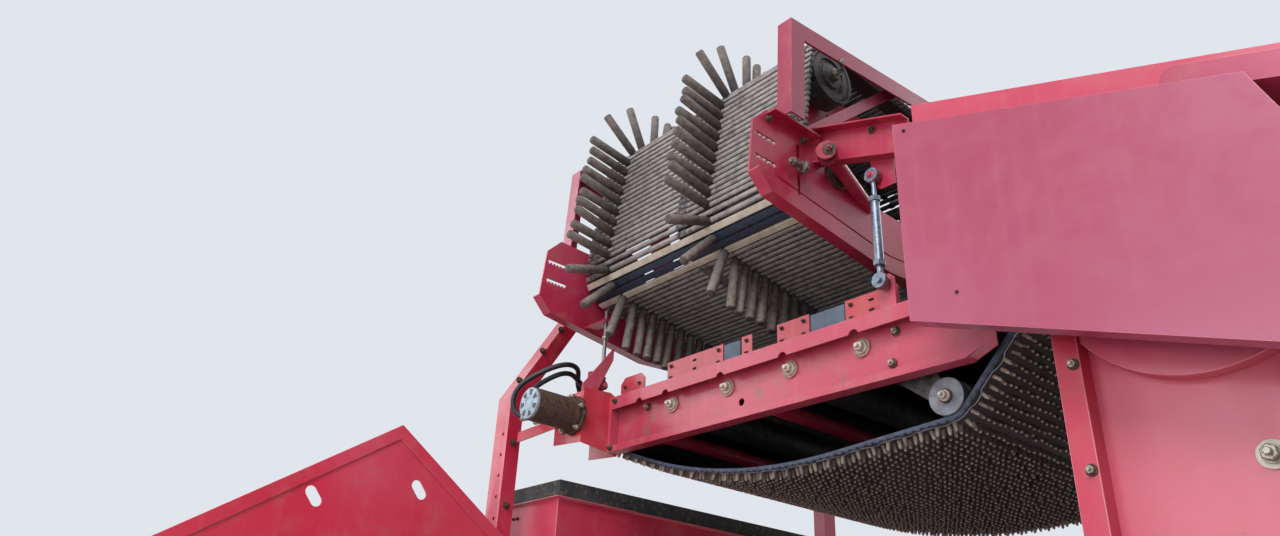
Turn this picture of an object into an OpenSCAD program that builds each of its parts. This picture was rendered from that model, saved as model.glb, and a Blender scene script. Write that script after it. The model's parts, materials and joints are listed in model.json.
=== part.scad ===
// Separator section of a potato harvester: a pintle belt table with a
// cross-running finger web hung over it, its infeed web, walls and frame.
// X runs along the machine, Y across it, Z up. Origin: floor, middle of the feet.

/* [Belt table] */
// Width of the pintle belt
belt_w = 1250; // [900:10:1500]
// Thickness of the belt's carcass
belt_t = 8; // [5:1:12]
// Height of a pintle above the carcass
pintle_h = 24; // [12:1:30]
// Pitch of the pintle rows along the belt
pintle_pitch = 25; // [20:1:40]
// Height of the support rollers' axis
roller_z = 972; // [900:1:1040]
// Radius of a support roller
roller_r = 58; // [40:1:62]
// Number of support rollers
roller_count = 4; // [2:1:5]
// Spacing of the support rollers
roller_step = 259; // [200:1:280]
// X of the first support roller
roller_x0 = -377; // [-400:1:-300]
// Radius of the driven roller at the discharge end
drive_r = 68; // [55:1:80]
// X of the driven roller
drive_x = -712; // [-725:1:-700]
// Radius of the roller at the infeed end
end_r = 50; // [40:1:60]
// X of the roller at the infeed end
end_x = 812; // [790:1:840]
// Radius of the return roller under the table
return_r = 50; // [40:1:56]
// X of the return roller
return_x = 632; // [600:1:660]
// Height of the return roller's axis
return_z = 785; // [770:1:810]
// Radius of the slack lower strand
sag_r = 1900; // [1700:10:2000]
// X of the slack strand's lowest place
sag_x = 130; // [60:10:200]
// Height of the slack strand's lowest place
sag_z = 703; // [690:1:720]
// Diameter of the rollers' shafts
shaft_d = 24; // [16:1:30]

/* [Rails] */
// Height of a side rail
rail_h = 200; // [160:1:220]
// Depth of a side rail's flanges
rail_depth = 45; // [35:1:60]
// Sheet thickness of a side rail
rail_t = 5; // [4:1:8]
// Height of the top flange's turned lip
lip_h = 46; // [30:1:60]
// Height of the bottom flange's turned lip
foot_lip_h = 22; // [10:1:30]
// X of the rail's discharge end
rail_x0 = -667; // [-680:1:-640]
// X of the rail's infeed end
rail_x1 = 792; // [760:1:798]
// Radius of the notches in the lip
notch_r = 17; // [12:1:20]
// Gap between the belt's edge and the rail
belt_gap = 10; // [6:1:20]
// Height of the edge plates above the rail
edge_h = 76; // [50:1:90]
// Height of a rail above its rollers' axes
rail_over = 77; // [70:1:80]
// Thickness of an edge plate
edge_t = 4; // [3:1:6]
// Thickness of a rubber flap
flap_t = 8; // [5:1:10]

/* [Finger web] */
// Length of the web's rods
rod_len = 1100; // [900:10:1150]
// Diameter of a rod
rod_d = 16; // [10:1:18]
// Pitch of the rods along the web
rod_pitch = 25; // [22:0.5:30]
// Thickness of the web's belts
web_belt_t = 10; // [8:1:12]
// Width of one of the web's belts
web_belt_w = 60; // [40:1:80]
// X of the web's middle
web_x = -250; // [-260:1:-240]
// Diameter of a rubber finger
finger_d = 34; // [26:1:38]
// Length of a rubber finger
finger_len = 205; // [150:1:210]
// X of the two rows of fingers
finger_rows = [-660, -120];
// Radius of the web's front top roller
web_top_r = 105; // [90:1:115]
// Radius of the web's other rollers
web_low_r = 110; // [95:1:120]
// Sheet thickness of a side arm
arm_t = 6; // [4:1:10]
// Distance of the web's pivot from the far rail
pivot_off = 60; // [50:1:70]
// Height of the web's pivot
pivot_z = 1451; // [1430:1:1470]
// Diameter of the pivot pins
pivot_d = 30; // [24:1:36]

/* [Infeed web] */
// Slope of the infeed web in degrees
infeed_slope = 19; // [15:0.5:22]
// Length between the infeed web's rollers
infeed_len = 930; // [850:10:940]
// X of the infeed web's head roller
head_x = 690; // [680:1:720]
// Height of the infeed web's head roller
head_z = 1250; // [1230:1:1280]
// Radius of the infeed web's rollers
infeed_r = 75; // [60:1:85]
// Pitch of the infeed web's rods
infeed_pitch = 45; // [35:1:60]

/* [Side cover] */
// Upright height of the cover at its left edge
cover_h = 562; // [480:1:580]
// Depth of the cover's turned edges
cover_depth = 50; // [30:1:70]
// Depth of the cover's turned end
cover_end_depth = 120; // [80:1:130]
// Sheet thickness of the cover
cover_t = 3; // [2:0.5:5]
// Distance of the cover's face from the side wall
cover_off = 180; // [150:1:220]

/* [Frame] */
// Side of the base's square tubes
base_s = 100; // [80:1:120]
// Wall of the base's square tubes
base_wall = 6; // [4:1:8]
// X of the base's discharge end
base_x0 = -1180; // [-1300:10:-1160]
// X of the base's infeed end
base_x1 = 1700; // [1680:10:1800]
// Height of the feet under the base
foot_h = 20; // [12:1:30]
// Diameter of the fixing holes in the feet
foot_hole_d = 18; // [14:1:22]
// Sheet thickness of the side walls
wall_t = 4; // [3:1:8]

/* [Hidden] */

// Clearance between a roller and its belt
roll_gap = 0.3;
// Gap between a rod and the belt or finger on it
rod_gap = 0.05;

// Rail planes and levels
rail_in = belt_w / 2 + belt_gap;
rail_out = rail_in + rail_depth;
near = -rail_out;
far = rail_out;
pivot_y = far + pivot_off;
belt_top = roller_z + roller_r;
rail_z1 = roller_z + rail_over;
rail_z0 = rail_z1 - rail_h;
end_z = belt_top - end_r;
drive_z = belt_top - drive_r;
roller_xs = [for (i = [0 : roller_count - 1]) roller_x0 + i * roller_step];

// A plate from one corner to the opposite one
module block(x, y, z) {
  translate([x[0], y[0], z[0]]) cube([x[1] - x[0], y[1] - y[0], z[1] - z[0]]);
}

// A round bar along X, Y or Z from a to b
module bar_x(x, y, z, d) {
  translate([x[0], y, z]) rotate([0, 90, 0]) cylinder(d = d, h = x[1] - x[0], $fn = 32);
}
module bar_y(x, y, z, d) {
  translate([x, y[1], z]) rotate([90, 0, 0]) cylinder(d = d, h = y[1] - y[0], $fn = 32);
}
module bar_z(x, y, z, d) {
  translate([x, y, z[0]]) cylinder(d = d, h = z[1] - z[0], $fn = 32);
}

// A round bar between any two points
module bar(a, b, d) {
  v = b - a;
  translate(a) rotate([0, acos(v[2] / norm(v)), atan2(v[1], v[0])])
    cylinder(d = d, h = norm(v), $fn = 32);
}
// A hose swept along a smooth curve through a row of points
function curve_at(p, k, t) =
  let (a = p[max(k - 1, 0)], b = p[k], c = p[k + 1], d = p[min(k + 2, len(p) - 1)])
    0.5 * (2 * b + (c - a) * t + (2 * a - 5 * b + 4 * c - d) * t * t
           + (3 * b - a - 3 * c + d) * t * t * t);
function curve(p, steps) =
  concat([for (k = [0 : len(p) - 2], i = [0 : steps - 1]) curve_at(p, k, i / steps)], [p[len(p) - 1]]);
function hose_way(p, c, i) =
  let (v = i == 0 ? p[1] - p[0] : i == len(c) - 1 ? p[len(p) - 1] - p[len(p) - 2] : c[i + 1] - c[i - 1])
    v / norm(v);
module hose(pts, d, steps, sides) {
  c = curve(pts, steps);
  n = len(c);
  rings = [for (i = [0 : n - 1])
    let (u = hose_way(pts, c, i), w0 = cross(u, [1, 0, 1]), w = w0 / norm(w0), v = cross(w, u))
      for (k = [0 : sides - 1])
        let (a = 360 * k / sides) c[i] + d / 2 * (cos(a) * v + sin(a) * w)];
  faces = concat(
    [[for (k = [0 : sides - 1]) k]],
    [for (i = [0 : n - 2], k = [0 : sides - 1])
      let (m = (k + 1) % sides) [i * sides + m, i * sides + k, (i + 1) * sides + k, (i + 1) * sides + m]],
    [[for (k = [sides - 1 : -1 : 0]) (n - 1) * sides + k]]);
  polyhedron(rings, faces);
}

// A sheet with an outline in X and Z, between two Y values
module sheet_xz(y, pts) {
  translate([0, y[1], 0]) rotate([90, 0, 0]) linear_extrude(y[1] - y[0]) polygon(pts);
}

// A sheet with an outline in Y and Z, between two X values
module sheet_yz(x, pts) {
  translate([x[0], 0, 0]) rotate([90, 0, 90]) linear_extrude(x[1] - x[0]) polygon(pts);
}

// The outline with each edge moved inward by d; points run clockwise
function unit(a, b) = (b - a) / norm(b - a);
function meet(p, u, q, v) = p + u * cross(q - p, v) / cross(u, v);
function inset(pts, d) = [
  for (i = [0 : len(pts) - 1])
    let (b = pts[i], u = unit(pts[(i + len(pts) - 1) % len(pts)], b),
         v = unit(b, pts[(i + 1) % len(pts)]))
      meet(b + d * [u[1], -u[0]], u, b + d * [v[1], -v[0]], v)
];

// Loops over rollers, clockwise. A roller is [across, up, radius].
function clamp1(v) = max(-1, min(1, v));
function gap_of(a, b) = norm([b[0] - a[0], b[1] - a[1]]);
function span_normal(a, b) =
  atan2(b[1] - a[1], b[0] - a[0]) + acos(clamp1((a[2] - b[2]) / gap_of(a, b)));
function turn(a, b) = (a - b) - 360 * floor((a - b) / 360);
function span_len(a, b) = sqrt(max(0, pow(gap_of(a, b), 2) - pow(a[2] - b[2], 2)));
// One stage of a loop: [roller, first normal, turn, arc length, span length]
function loop_stages(rs) = [
  for (i = [0 : len(rs) - 1])
    let (before = rs[(i + len(rs) - 1) % len(rs)], here = rs[i], after = rs[(i + 1) % len(rs)],
         a0 = span_normal(before, here), a1 = span_normal(here, after), t = turn(a0, a1))
      [here, a0, t, here[2] * t * PI / 180, span_len(here, after)]
];
function loop_len(stages, n = 0) =
  n >= len(stages) ? 0 : stages[n][3] + stages[n][4] + loop_len(stages, n + 1);
// The place at distance s along a loop, h outside it: [across, up, normal]
function loop_at(stages, s, h, n = 0) =
  let (g = stages[n], whole = g[3] + g[4])
    s > whole && n < len(stages) - 1 ? loop_at(stages, s - whole, h, n + 1)
    : let (a = s < g[3] ? g[1] - s / g[0][2] * 180 / PI : g[1] - g[2], run = max(0, s - g[3]))
      [g[0][0] + (g[0][2] + h) * cos(a) + run * sin(a),
       g[0][1] + (g[0][2] + h) * sin(a) - run * cos(a), a];
// A plain loop outline, h outside the rollers; its arcs stay within bow of a true arc
function loop_outline(stages, h, bow) =
  [for (k = [0 : len(stages) - 1])
    let (met = stages[(k + len(stages) - 1) % len(stages)][4] < 1)
      for (p = loop_arc(stages[k], h, bow, met ? 1 : 0)) p];
function loop_arc(g, h, bow, first) =
  let (n = max(2, ceil(g[2] / (2 * acos(1 - bow / (g[0][2] + h))))))
    [for (i = [first : n]) let (a = g[1] - g[2] * i / n)
      [g[0][0] + (g[0][2] + h) * cos(a), g[0][1] + (g[0][2] + h) * sin(a)]];

module loop_band(stages, h0, h1) {
  difference() {
    polygon(loop_outline(stages, h1, 2 * belt_bow));
    polygon(loop_outline(stages, h0, belt_bow));
  }
}
// How far a belt's outline may lie inside a true arc
belt_bow = 0.2;

// The pintle belt's loop; its slack strand is one arc between two straight runs
drive_c = [drive_x, drive_z, drive_r];
return_c = [return_x, return_z, return_r];
sag_c = [sag_x, sag_z + sag_r, sag_r];
belt_loop = loop_stages([drive_c, [end_x, end_z, end_r], return_c, sag_c]);
belt_len = loop_len(belt_loop);
pintle_n = floor(belt_len / pintle_pitch);

// The finger web's loop in Y and Z
web_front_top = [near + 133, 2032, web_top_r];
web_rear_top = [far - 380, 1965, web_top_r];
web_rear_low = [far - 240, 1430, web_low_r];
web_front_low = [near + 68, 1580, web_low_r];
web_loop = loop_stages([web_front_top, web_rear_top, web_rear_low, web_front_low]);
web_len = loop_len(web_loop);
rod_n = 2 * floor(web_len / rod_pitch / 2);
rod_h = web_belt_t + rod_d / 2 + rod_gap;
web_xs = [web_x - rod_len / 2, web_x + rod_len / 2];
web_belt_xs = [web_xs[0] + 20, web_x - 30, web_xs[1] - 20 - web_belt_w];
arm_gap = 14;
arm_right_x = [web_xs[1] + arm_gap, web_xs[1] + arm_gap + arm_t];
arm_left_x = [web_xs[0] - arm_gap - arm_t, web_xs[0] - arm_gap];

// The infeed web's loop in X and Z
infeed_dx = infeed_len * cos(infeed_slope);
infeed_dz = infeed_len * sin(infeed_slope);
head_c = [head_x, head_z, infeed_r];
tail_c = [head_x + infeed_dx, head_z - infeed_dz, infeed_r];
infeed_loop = loop_stages([head_c, tail_c]);
infeed_n = floor(loop_len(infeed_loop) / infeed_pitch);
infeed_half = belt_w / 2 - 25;

// Side walls
wall_y = rail_out;
wall_x0 = 650;
wall_x1 = base_x1 - 10;
slope_t = tan(infeed_slope);
wall_top = 1644;
post_x = [962, 1016];
post_depth = 50;

module base_rail_near() {
  color("firebrick") base_tube(-rail_out - base_s / 2);
}
module base_rail_far() {
  color("firebrick") base_tube(rail_out + base_s / 2);
}
module base_tube(y) {
  difference() {
    block([base_x0, base_x1], [y - base_s / 2, y + base_s / 2], [foot_h, foot_h + base_s]);
    block([base_x0 - 1, base_x1 + 1], [y - base_s / 2 + base_wall, y + base_s / 2 - base_wall],
          [foot_h + base_wall, foot_h + base_s - base_wall]);
  }
}
module base_cross() {
  color("firebrick") for (x = [base_x0, 0, base_x1 - base_s])
    difference() {
      block([x, x + base_s], [-rail_out, rail_out], [foot_h, foot_h + base_s]);
      block([x + base_wall, x + base_s - base_wall], [-rail_out - 1, rail_out + 1],
            [foot_h + base_wall, foot_h + base_s - base_wall]);
    }
}
foot_x = 1100;
foot_y = rail_out + base_s / 2;
foot_size = 160;
module base_feet() {
  color("dimgray") {
    for (sx = [-1, 1], sy = [-1, 1])
      difference() {
        translate([sx * foot_x - foot_size / 2, sy * foot_y - foot_size / 2, 0])
          cube([foot_size, foot_size, foot_h]);
        translate([sx * foot_x, sy * (foot_y + 64), -1])
          cylinder(d = foot_hole_d, h = foot_h + 2, $fn = 32);
      }
    for (x = beam_xs)
      block([x, x + beam_s], [beam_y, beam_y + foot_size], [0, foot_h]);
  }
}
base_top = foot_h + base_s;

// Beams that reach out under the gable panel and the cranked post
beam_s = base_s;
beam_y = near - 1390;
module side_beams() {
  color("firebrick") for (x = beam_xs)
    difference() {
      block([x, x + beam_s], [beam_y, -rail_out - base_s], [foot_h, base_top]);
      block([x + base_wall, x + beam_s - base_wall], [beam_y - 1, -rail_out - base_s + 1],
            [foot_h + base_wall, base_top - base_wall]);
    }
}

// Channel posts beside the walls
post_t = 5;
post_top = 1120;
end_post_w = 70;
module channel_post(side, xs, top) {
  y0 = side < 0 ? -wall_y - post_depth : wall_y;
  y1 = side < 0 ? -wall_y : wall_y + post_depth;
  open = side < 0 ? [y0 + post_t, y1 + 1] : [y0 - 1, y1 - post_t];
  difference() {
    block(xs, [y0, y1], [base_top, top]);
    block([xs[0] + post_t, xs[1] - post_t], open, [base_top + post_t, top - post_t]);
  }
}
module post_near() { color("crimson") channel_post(-1, post_x, post_top); }
module post_far() { color("crimson") channel_post(1, post_x, post_top); }
module end_posts() {
  color("crimson") for (side = [-1, 1])
    channel_post(side, [wall_x1 - end_post_w, wall_x1], post_top + 60);
}

// Open box under the discharge end
box_x = [-1097, -773];
box_y = [near - 120, far - 80];
box_top = 690;
box_rim = 16;
module chute_box() {
  color("crimson") {
    difference() {
      block(box_x, box_y, [base_top, box_top]);
      block([box_x[0] + wall_t, box_x[1] - wall_t], [box_y[0] + wall_t, box_y[1] - wall_t],
            [base_top + wall_t, box_top + 1]);
    }
    difference() {
      block([box_x[0] - box_rim, box_x[1] + box_rim], [box_y[0] - box_rim, box_y[1] + box_rim],
            [box_top - wall_t, box_top]);
      block([box_x[0] + 1, box_x[1] - 1], [box_y[0] + 1, box_y[1] - 1], [box_top - wall_t - 1, box_top + 1]);
    }
  }
}

wall_low = 320;
function wall_pts() = [
  [wall_x0, rail_z1], [wall_x0, wall_top],
  [wall_x1, wall_top - (wall_x1 - wall_x0) * slope_t],
  [wall_x1, wall_low], [post_x[0], wall_low], [post_x[0], rail_z1]
];
module side_wall_near() {
  color("crimson") sheet_xz([-wall_y, -wall_y + wall_t], wall_pts());
}
module side_wall_far() {
  color("crimson") sheet_xz([wall_y - wall_t, wall_y], wall_pts());
}
drum_c = [1250, 960];
drum_r = 283;
module drum_cover() {
  color("crimson") difference() {
    bar_y(drum_c[0], [-wall_y - 40, -wall_y], drum_c[1], 2 * drum_r);
    bar_y(drum_c[0], [-wall_y - 36, -wall_y + 1], drum_c[1], 2 * drum_r - 8);
    block([drum_c[0] - drum_r - 1, post_x[1] + 2], [-wall_y - 41, -wall_y + 1],
          [drum_c[1] - drum_r, drum_c[1] + drum_r]);
  }
}

// Side rails with turned lips, notched at the roller bolts
module rail(side) {
  if (side > 0) rail_shape();
  else mirror([0, 1, 0]) rail_shape();
}
module rail_shape() {
  module profile() {
    polygon([
      [rail_in, rail_z0], [rail_out, rail_z0], [rail_out, rail_z0 + foot_lip_h],
      [rail_out - rail_t, rail_z0 + foot_lip_h], [rail_out - rail_t, rail_z0 + rail_t],
      [rail_in + rail_t, rail_z0 + rail_t], [rail_in + rail_t, rail_z1 - rail_t],
      [rail_out - rail_t, rail_z1 - rail_t], [rail_out - rail_t, rail_z1 - lip_h],
      [rail_out, rail_z1 - lip_h], [rail_out, rail_z1], [rail_in, rail_z1]
    ]);
  }
  difference() {
    union() {
      translate([rail_x0, 0, 0]) rotate([90, 0, 90]) linear_extrude(rail_x1 - rail_x0) profile();
      block([rail_x0, rail_x0 + rail_t], [rail_in, rail_out], [rail_z0, rail_z1]);
    }
    for (x = concat([notch_x], roller_xs))
      bar_y(x, [rail_out - rail_t - 1, rail_out + 1], rail_z1 - lip_h - 4, 2 * notch_r);
    bar_y(hole_x, [rail_in - 1, rail_in + rail_t + 1], rail_z0 + 65, rail_hole_d);
    sheet_xz([rail_in - 1, rail_out + 1],
             [[rail_x1 - 70, rail_z0 - 1], [rail_x1 + 1, rail_z0 + 30], [rail_x1 + 1, rail_z0 - 1]]);
  }
}
notch_x = -512;
hole_x = -61;
rail_hole_d = 24;
module belt_rail_near() { color("crimson") rail(-1); }
module belt_rail_far() { color("crimson") rail(1); }
module rail_cross_tubes() {
  color("firebrick") for (x = cross_xs)
    bar_y(x, [-rail_in, rail_in], cross_z, cross_d);
}
cross_xs = [-470, 30, 520];
cross_z = 890;
cross_d = 50;
module rail_hangers() {
  color("dimgray") for (side = [-1, 1]) {
    y = side < 0 ? [-rail_in, -rail_in + hanger_t] : [rail_in - hanger_t, rail_in];
    block([rail_x1 - 60, end_x + 40], y, [end_z - 30, end_z + 30]);
    block([drive_x - 40, rail_x0 + 60], y, [drive_z - 35, drive_z + 35]);
    arm = side < 0 ? [-return_arm_y - hanger_t, -return_arm_y] : [return_arm_y, return_arm_y + hanger_t];
    difference() {
      sheet_xz(arm, [[cross_xs[2] - 34, cross_z - 34], [cross_xs[2] - 34, cross_z + 34],
                     [cross_xs[2] + 40, cross_z + 34], [return_x - 12, return_z + 40],
                     [return_x + 24, return_z + 24], [return_x + 24, return_z - 24],
                     [return_x - 24, return_z - 24]]);
      bar_y(cross_xs[2], [arm[0] - 1, arm[1] + 1], cross_z, cross_d + 0.1);
    }
  }
}
return_arm_y = belt_w / 2 - 32;
hanger_t = 8;

// Edge plates and flaps along the near rail: [from x, to x]
plate_spans = [[-403, -135], [-52, -8], [97, 222], [355, 533]];
flap_spans = [[-131, -60], [227, 351]];
plate_y = rail_in + 12;
module edge_plates() {
  color("tomato") {
    for (s = plate_spans)
      difference() {
        block(s, [-plate_y, -plate_y + edge_t], [rail_z1, rail_z1 + edge_h]);
        if (s[1] - s[0] > 150)
          for (z = [24, 54]) oblong_y((s[0] + s[1]) / 2, z, 20, 9);
      }
    sheet_xz([-plate_y, -plate_y + edge_t], [
      [octagon_x[0], rail_z1 + octagon_cut], [octagon_x[0], rail_z1 + edge_h - octagon_cut],
      [octagon_x[0] + octagon_cut, rail_z1 + edge_h], [octagon_x[1] - octagon_cut, rail_z1 + edge_h],
      [octagon_x[1], rail_z1 + edge_h - octagon_cut], [octagon_x[1], rail_z1 + octagon_cut],
      [octagon_x[1] - octagon_cut, rail_z1], [octagon_x[0] + octagon_cut, rail_z1]
    ]);
  }
}
octagon_x = [-655, -523];
octagon_cut = 22;
// An oblong hole through an edge plate
module oblong_y(x, z, long, wide) {
  for (dx = [-1, 1])
    bar_y(x + dx * (long - wide) / 2, [-plate_y - 1, -plate_y + edge_t + 1], rail_z1 + z, wide);
  block([x - (long - wide) / 2, x + (long - wide) / 2], [-plate_y - 1, -plate_y + edge_t + 1],
        [rail_z1 + z - wide / 2, rail_z1 + z + wide / 2]);
}
module rubber_flaps() {
  color("slategray") for (s = flap_spans)
    block(s, [-plate_y, -plate_y + flap_t], [rail_z1, rail_z1 + edge_h - 6]);
}

// Rollers across the belt table
module roller(x, z, r, wide, out) {
  bar_y(x, [-wide, wide], z, 2 * r);
  bar_y(x, [-out, out], z, shaft_d);
}
roll_w = rail_in - 14;
module support_rollers() {
  color("dimgray") for (x = roller_xs) roller(x, roller_z, roller_r - roll_gap, roll_w, rail_in);
}
module drive_roller() {
  color("dimgray") roller(drive_x, drive_z, drive_r - roll_gap, roll_w, rail_in - hanger_t);
}
module end_roller() {
  color("dimgray") roller(end_x, end_z, end_r - roll_gap, roll_w, rail_in - hanger_t);
}
module return_roller() {
  color("dimgray") {
    roller(return_x, return_z, return_r - roll_gap, return_arm_y - 4, return_arm_y);
    for (side = [-1, 1]) {
      disc = side < 0 ? [-belt_w / 2 - 4, -return_arm_y - hanger_t] : [return_arm_y + hanger_t, belt_w / 2 + 4];
      bar_y(return_x, disc, return_z, 2 * (return_r - roll_gap));
    }
  }
}

// The belt as one loop: its rows of pintles show in the outline
tooth = [[-0.28, 0], [-0.17, 1], [0.17, 1], [0.28, 0]];
function belt_outer() = [
  for (i = [0 : pintle_n - 1], t = tooth)
    let (p = loop_at(belt_loop, (i + 0.5 + t[0]) * belt_len / pintle_n, belt_t + t[1] * pintle_h))
      [p[0], p[1]]
];
module pintle_belt() {
  color("saddlebrown") translate([0, belt_w / 2, 0]) rotate([90, 0, 0]) linear_extrude(belt_w)
    difference() {
      polygon(belt_outer());
      polygon(loop_outline(belt_loop, 0, belt_bow));
    }
}

// Drive of the belt: bracket, motor and hoses
bracket_x = [-832, rail_x0 - 5];
bracket_y = near - 120;
bracket_z = [852, rail_z1];
module motor_bracket() {
  y = [bracket_y, -rail_in];
  x = bracket_x;
  color("crimson") difference() {
    union() {
      sheet_xz([y[0], y[0] + bracket_t], bracket_side(0));
      sheet_xz([y[1] - bracket_t, y[1]], bracket_side(-20));
      sheet_yz([x[1] - bracket_t, x[1]], [[y[0], bracket_z[0] + 12], [y[0], bracket_z[1] + 12],
        [near, bracket_z[1] + 20], [y[1], bracket_z[1]], [y[1], bracket_z[0] - 8], [near, bracket_z[0]]]);
      block(x, y, [bracket_z[1] - bracket_t, bracket_z[1]]);
      block([x[1], rail_x0], [near, y[1]], [rail_z0, rail_z1]);
    }
    bar_y(drive_x, [y[0] - 1, y[0] + bracket_t + 1], drive_z, 60);
    bar_y(drive_x, [y[1] - bracket_t - 1, y[1] + 1], drive_z, motor_shaft_d + 8);
  }
}
bracket_t = 5;
function bracket_side(dz) = [
  [bracket_x[0], bracket_z[0] + 24 + dz], [bracket_x[0], bracket_z[1]],
  [bracket_x[1], bracket_z[1]], [bracket_x[1], bracket_z[0] + 12 + dz]
];
motor_shaft_d = 32;
motor_d = 118;
motor_len = 200;
module belt_motor() {
  color("dimgray") {
    bar_y(drive_x, [bracket_y - motor_len, bracket_y - 14], drive_z, motor_d);
    bar_y(drive_x, [bracket_y - 14, bracket_y], drive_z, 150);
    bar_y(drive_x, [bracket_y, -rail_in], drive_z, motor_shaft_d);
    for (y = port_ys) bar_x([drive_x - port_len, drive_x], y, drive_z - port_drop, port_d);
  }
}
port_ys = [bracket_y - 150, bracket_y - 95];
port_d = 26;
port_len = 78;
port_drop = 22;
// How each hose goes on after its loop, from the motor's axis, the rail's side and top
hose_ways = [
  [[-54, -225, 69], [-26, -160, 101], [-40, -98, 103], [-88, -58, 69], [-100, -32, 31], [-100, -32, 0.2]],
  [[-56, -178, 62], [-48, -125, 80], [-58, -75, 66], [-64, -32, 36], [-64, -32, 0.2]]
];
module motor_hoses() {
  color("black") for (k = [0, 1]) {
    y0 = port_ys[k];
    x0 = drive_x - port_len - 0.2;
    z0 = drive_z - port_drop;
    hose(concat([[x0, y0, z0], [x0 - 20, y0, z0], [x0 - 44, y0 - 26, z0 + 26],
                 [x0 - 46, y0 - 34, z0 + 74], [x0 - 24, y0 - 16, z0 + 124]],
                [for (w = hose_ways[k]) w + [drive_x, near, rail_z1]]), hose_d, 4, 10);
  }
}
hose_d = 20;

// Cranked posts of the discharge end: outline in Y and Z
crank_x = [-1025, -940];
crank_y0 = near - 250;
crank_w = 57;
crank_t = 5;
crank_bend = 1040;
crank_top = 1491;
crank_lean = 31;
function crank_pts(low) =
  let (dy = (crank_top - crank_bend) * tan(crank_lean))
    [[crank_y0, low], [crank_y0, crank_bend + 16], [crank_y0 + dy, crank_top + 16],
     [crank_y0 + dy + crank_w, crank_top], [crank_y0 + crank_w, crank_bend],
     [crank_y0 + crank_w, low]];
module crank_post() {
  color("crimson") {
    difference() {
      sheet_yz(crank_x, crank_pts(base_top));
      translate([0, crank_t, 0])
        sheet_yz([crank_x[0] + crank_t, crank_x[1] - crank_t], crank_pts(base_top - 1));
      for (z = [base_top + 120 : crank_pitch : crank_bend - 100])
        bar_y(crank_x[1] - 28, [crank_y0 - 1, crank_y0 + crank_t + 1], z, 13);
    }
    block(crank_x, [crank_y0, crank_y0 + crank_w], [base_top, base_top + crank_t]);
  }
}
crank_pitch = 75;
// The beams' left faces: under the base's end, and under the post and the gable panel
beam_xs = [base_x0, crank_x[0] + 20];

module post_struts() {
  color("crimson") {
    difference() {
      translate([crank_x[1] - 12, crank_y0 + 36, strap_z]) rotate([0, -18, 32]) cube([190, 8, 36]);
      block([crank_x[0], crank_x[1]], [crank_y0 - 1, crank_y0 + crank_w + 20], [strap_z - 50, strap_z + 60]);
      block([bracket_x[0] - 60, bracket_x[1]], [bracket_y, bracket_y + 60], [strap_z - 50, strap_z + 160]);
    }
    for (x = [[pivot_post_x[0][0], rail_x0 + 60], pivot_post_x[1]])
      block(x, [far, pivot_y - pivot_half], [strap_z + 14, strap_z + 74]);
    for (x = [[rail_x0 + rail_t, rail_x0 + 60], pivot_post_x[1]])
      block(x, [rail_in + rail_t, far], [strap_z + 14, strap_z + 74]);
  }
}
strap_z = 884;

screw_x = -712;
screw_y = near - 12;
screw_d = 14;
screw_top = 1398;
lug_z = [1350, 1358];
module screw_stand() {
  color("pink") {
    difference() {
      sheet_yz([screw_x - 20, screw_x - 14], [
        [near - 65, bracket_z[1]], [near - 65, screw_eye_z + 45], [near - 20, screw_eye_z + 62],
        [near + 6, screw_eye_z + 62], [near + 6, bracket_z[1]]
      ]);
      bar_x([screw_x - 21, screw_x - 13], near - 46, screw_eye_z + 20, 12);
    }
    bar_x([screw_x - 14, screw_x + 12], screw_y, screw_eye_z, 34);
    bar_x([screw_x + 12, screw_x + 22], screw_y, screw_eye_z, 18);
    bar_z(screw_x, screw_y, [screw_eye_z, screw_top], screw_d);
    sheet_yz([bracket_x[1] - 18, bracket_x[1] - 13], [
      [near - 118, bracket_z[1]], [near - 118, bracket_z[1] + 28], [near + 14, bracket_z[1] + 202],
      [near + 14, bracket_z[1] + 152], [near - 60, bracket_z[1]]
    ]);
  }
}
screw_eye_z = bracket_z[1] + 52;
tb_x = 520;
tb_y = near - 24;
tb_z = [1116, 1451];
module turnbuckle_tube() {
  color("silver") {
    difference() {
      union() {
        bar_z(tb_x, tb_y, [tb_z[0] + 18, tb_z[0] + 60], tb_rod_d + 2);
        bar_z(tb_x, tb_y, [tb_z[0] + 58, tb_top], tb_d);
        for (z = [tb_z[0] + 46, tb_top - nut_t])
          translate([tb_x, tb_y, z]) cylinder(d = nut_d, h = nut_t, $fn = 6);
        bar_y(tb_x, [tb_y - 12, tb_y + 12], tb_z[0], eye_d);
      }
      bar_z(tb_x, tb_y, [tb_z[0] + 72, tb_top + 1], rod_bore);
    }
    bar_y(tb_x, [tb_y - 20, tb_y - 12], tb_z[0], 20);
    bar_y(tb_x, [tb_y + 12, near], tb_z[0], stud_d);
    sheet_xz([near, near + 6], [
      [tb_x - 26, rail_z1], [tb_x - 26, tb_z[0] + 14], [tb_x - 12, tb_z[0] + 28],
      [tb_x + 12, tb_z[0] + 28], [tb_x + 26, tb_z[0] + 14], [tb_x + 26, rail_z1]
    ]);
  }
}
tb_top = tb_z[1] - 72;
tb_d = 26;
nut_t = 14;
nut_d = 36;
eye_d = 44;
ball_d = 32;
stud_d = 14;
tb_rod_d = 14;
rod_bore = 18;
module turnbuckle_rod() {
  color("silver") {
    difference() {
      union() {
        bar_z(tb_x, tb_y, [tb_z[0] + 120, tb_z[1] - 18], tb_rod_d);
        bar_y(tb_x, [tb_y - 11, tb_y + 11], tb_z[1], eye_d);
        bar_x([tb_x - eye_d / 2 - 5, tb_x - eye_d / 2 + 4], tb_y, tb_z[1], 8);
      }
      translate([tb_x, tb_y, tb_z[1]]) rotate([90, 0, 0]) sphere(d = ball_d + 2 * ball_gap, $fn = 48);
    }
  }
}
ball_gap = 0.3;
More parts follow.
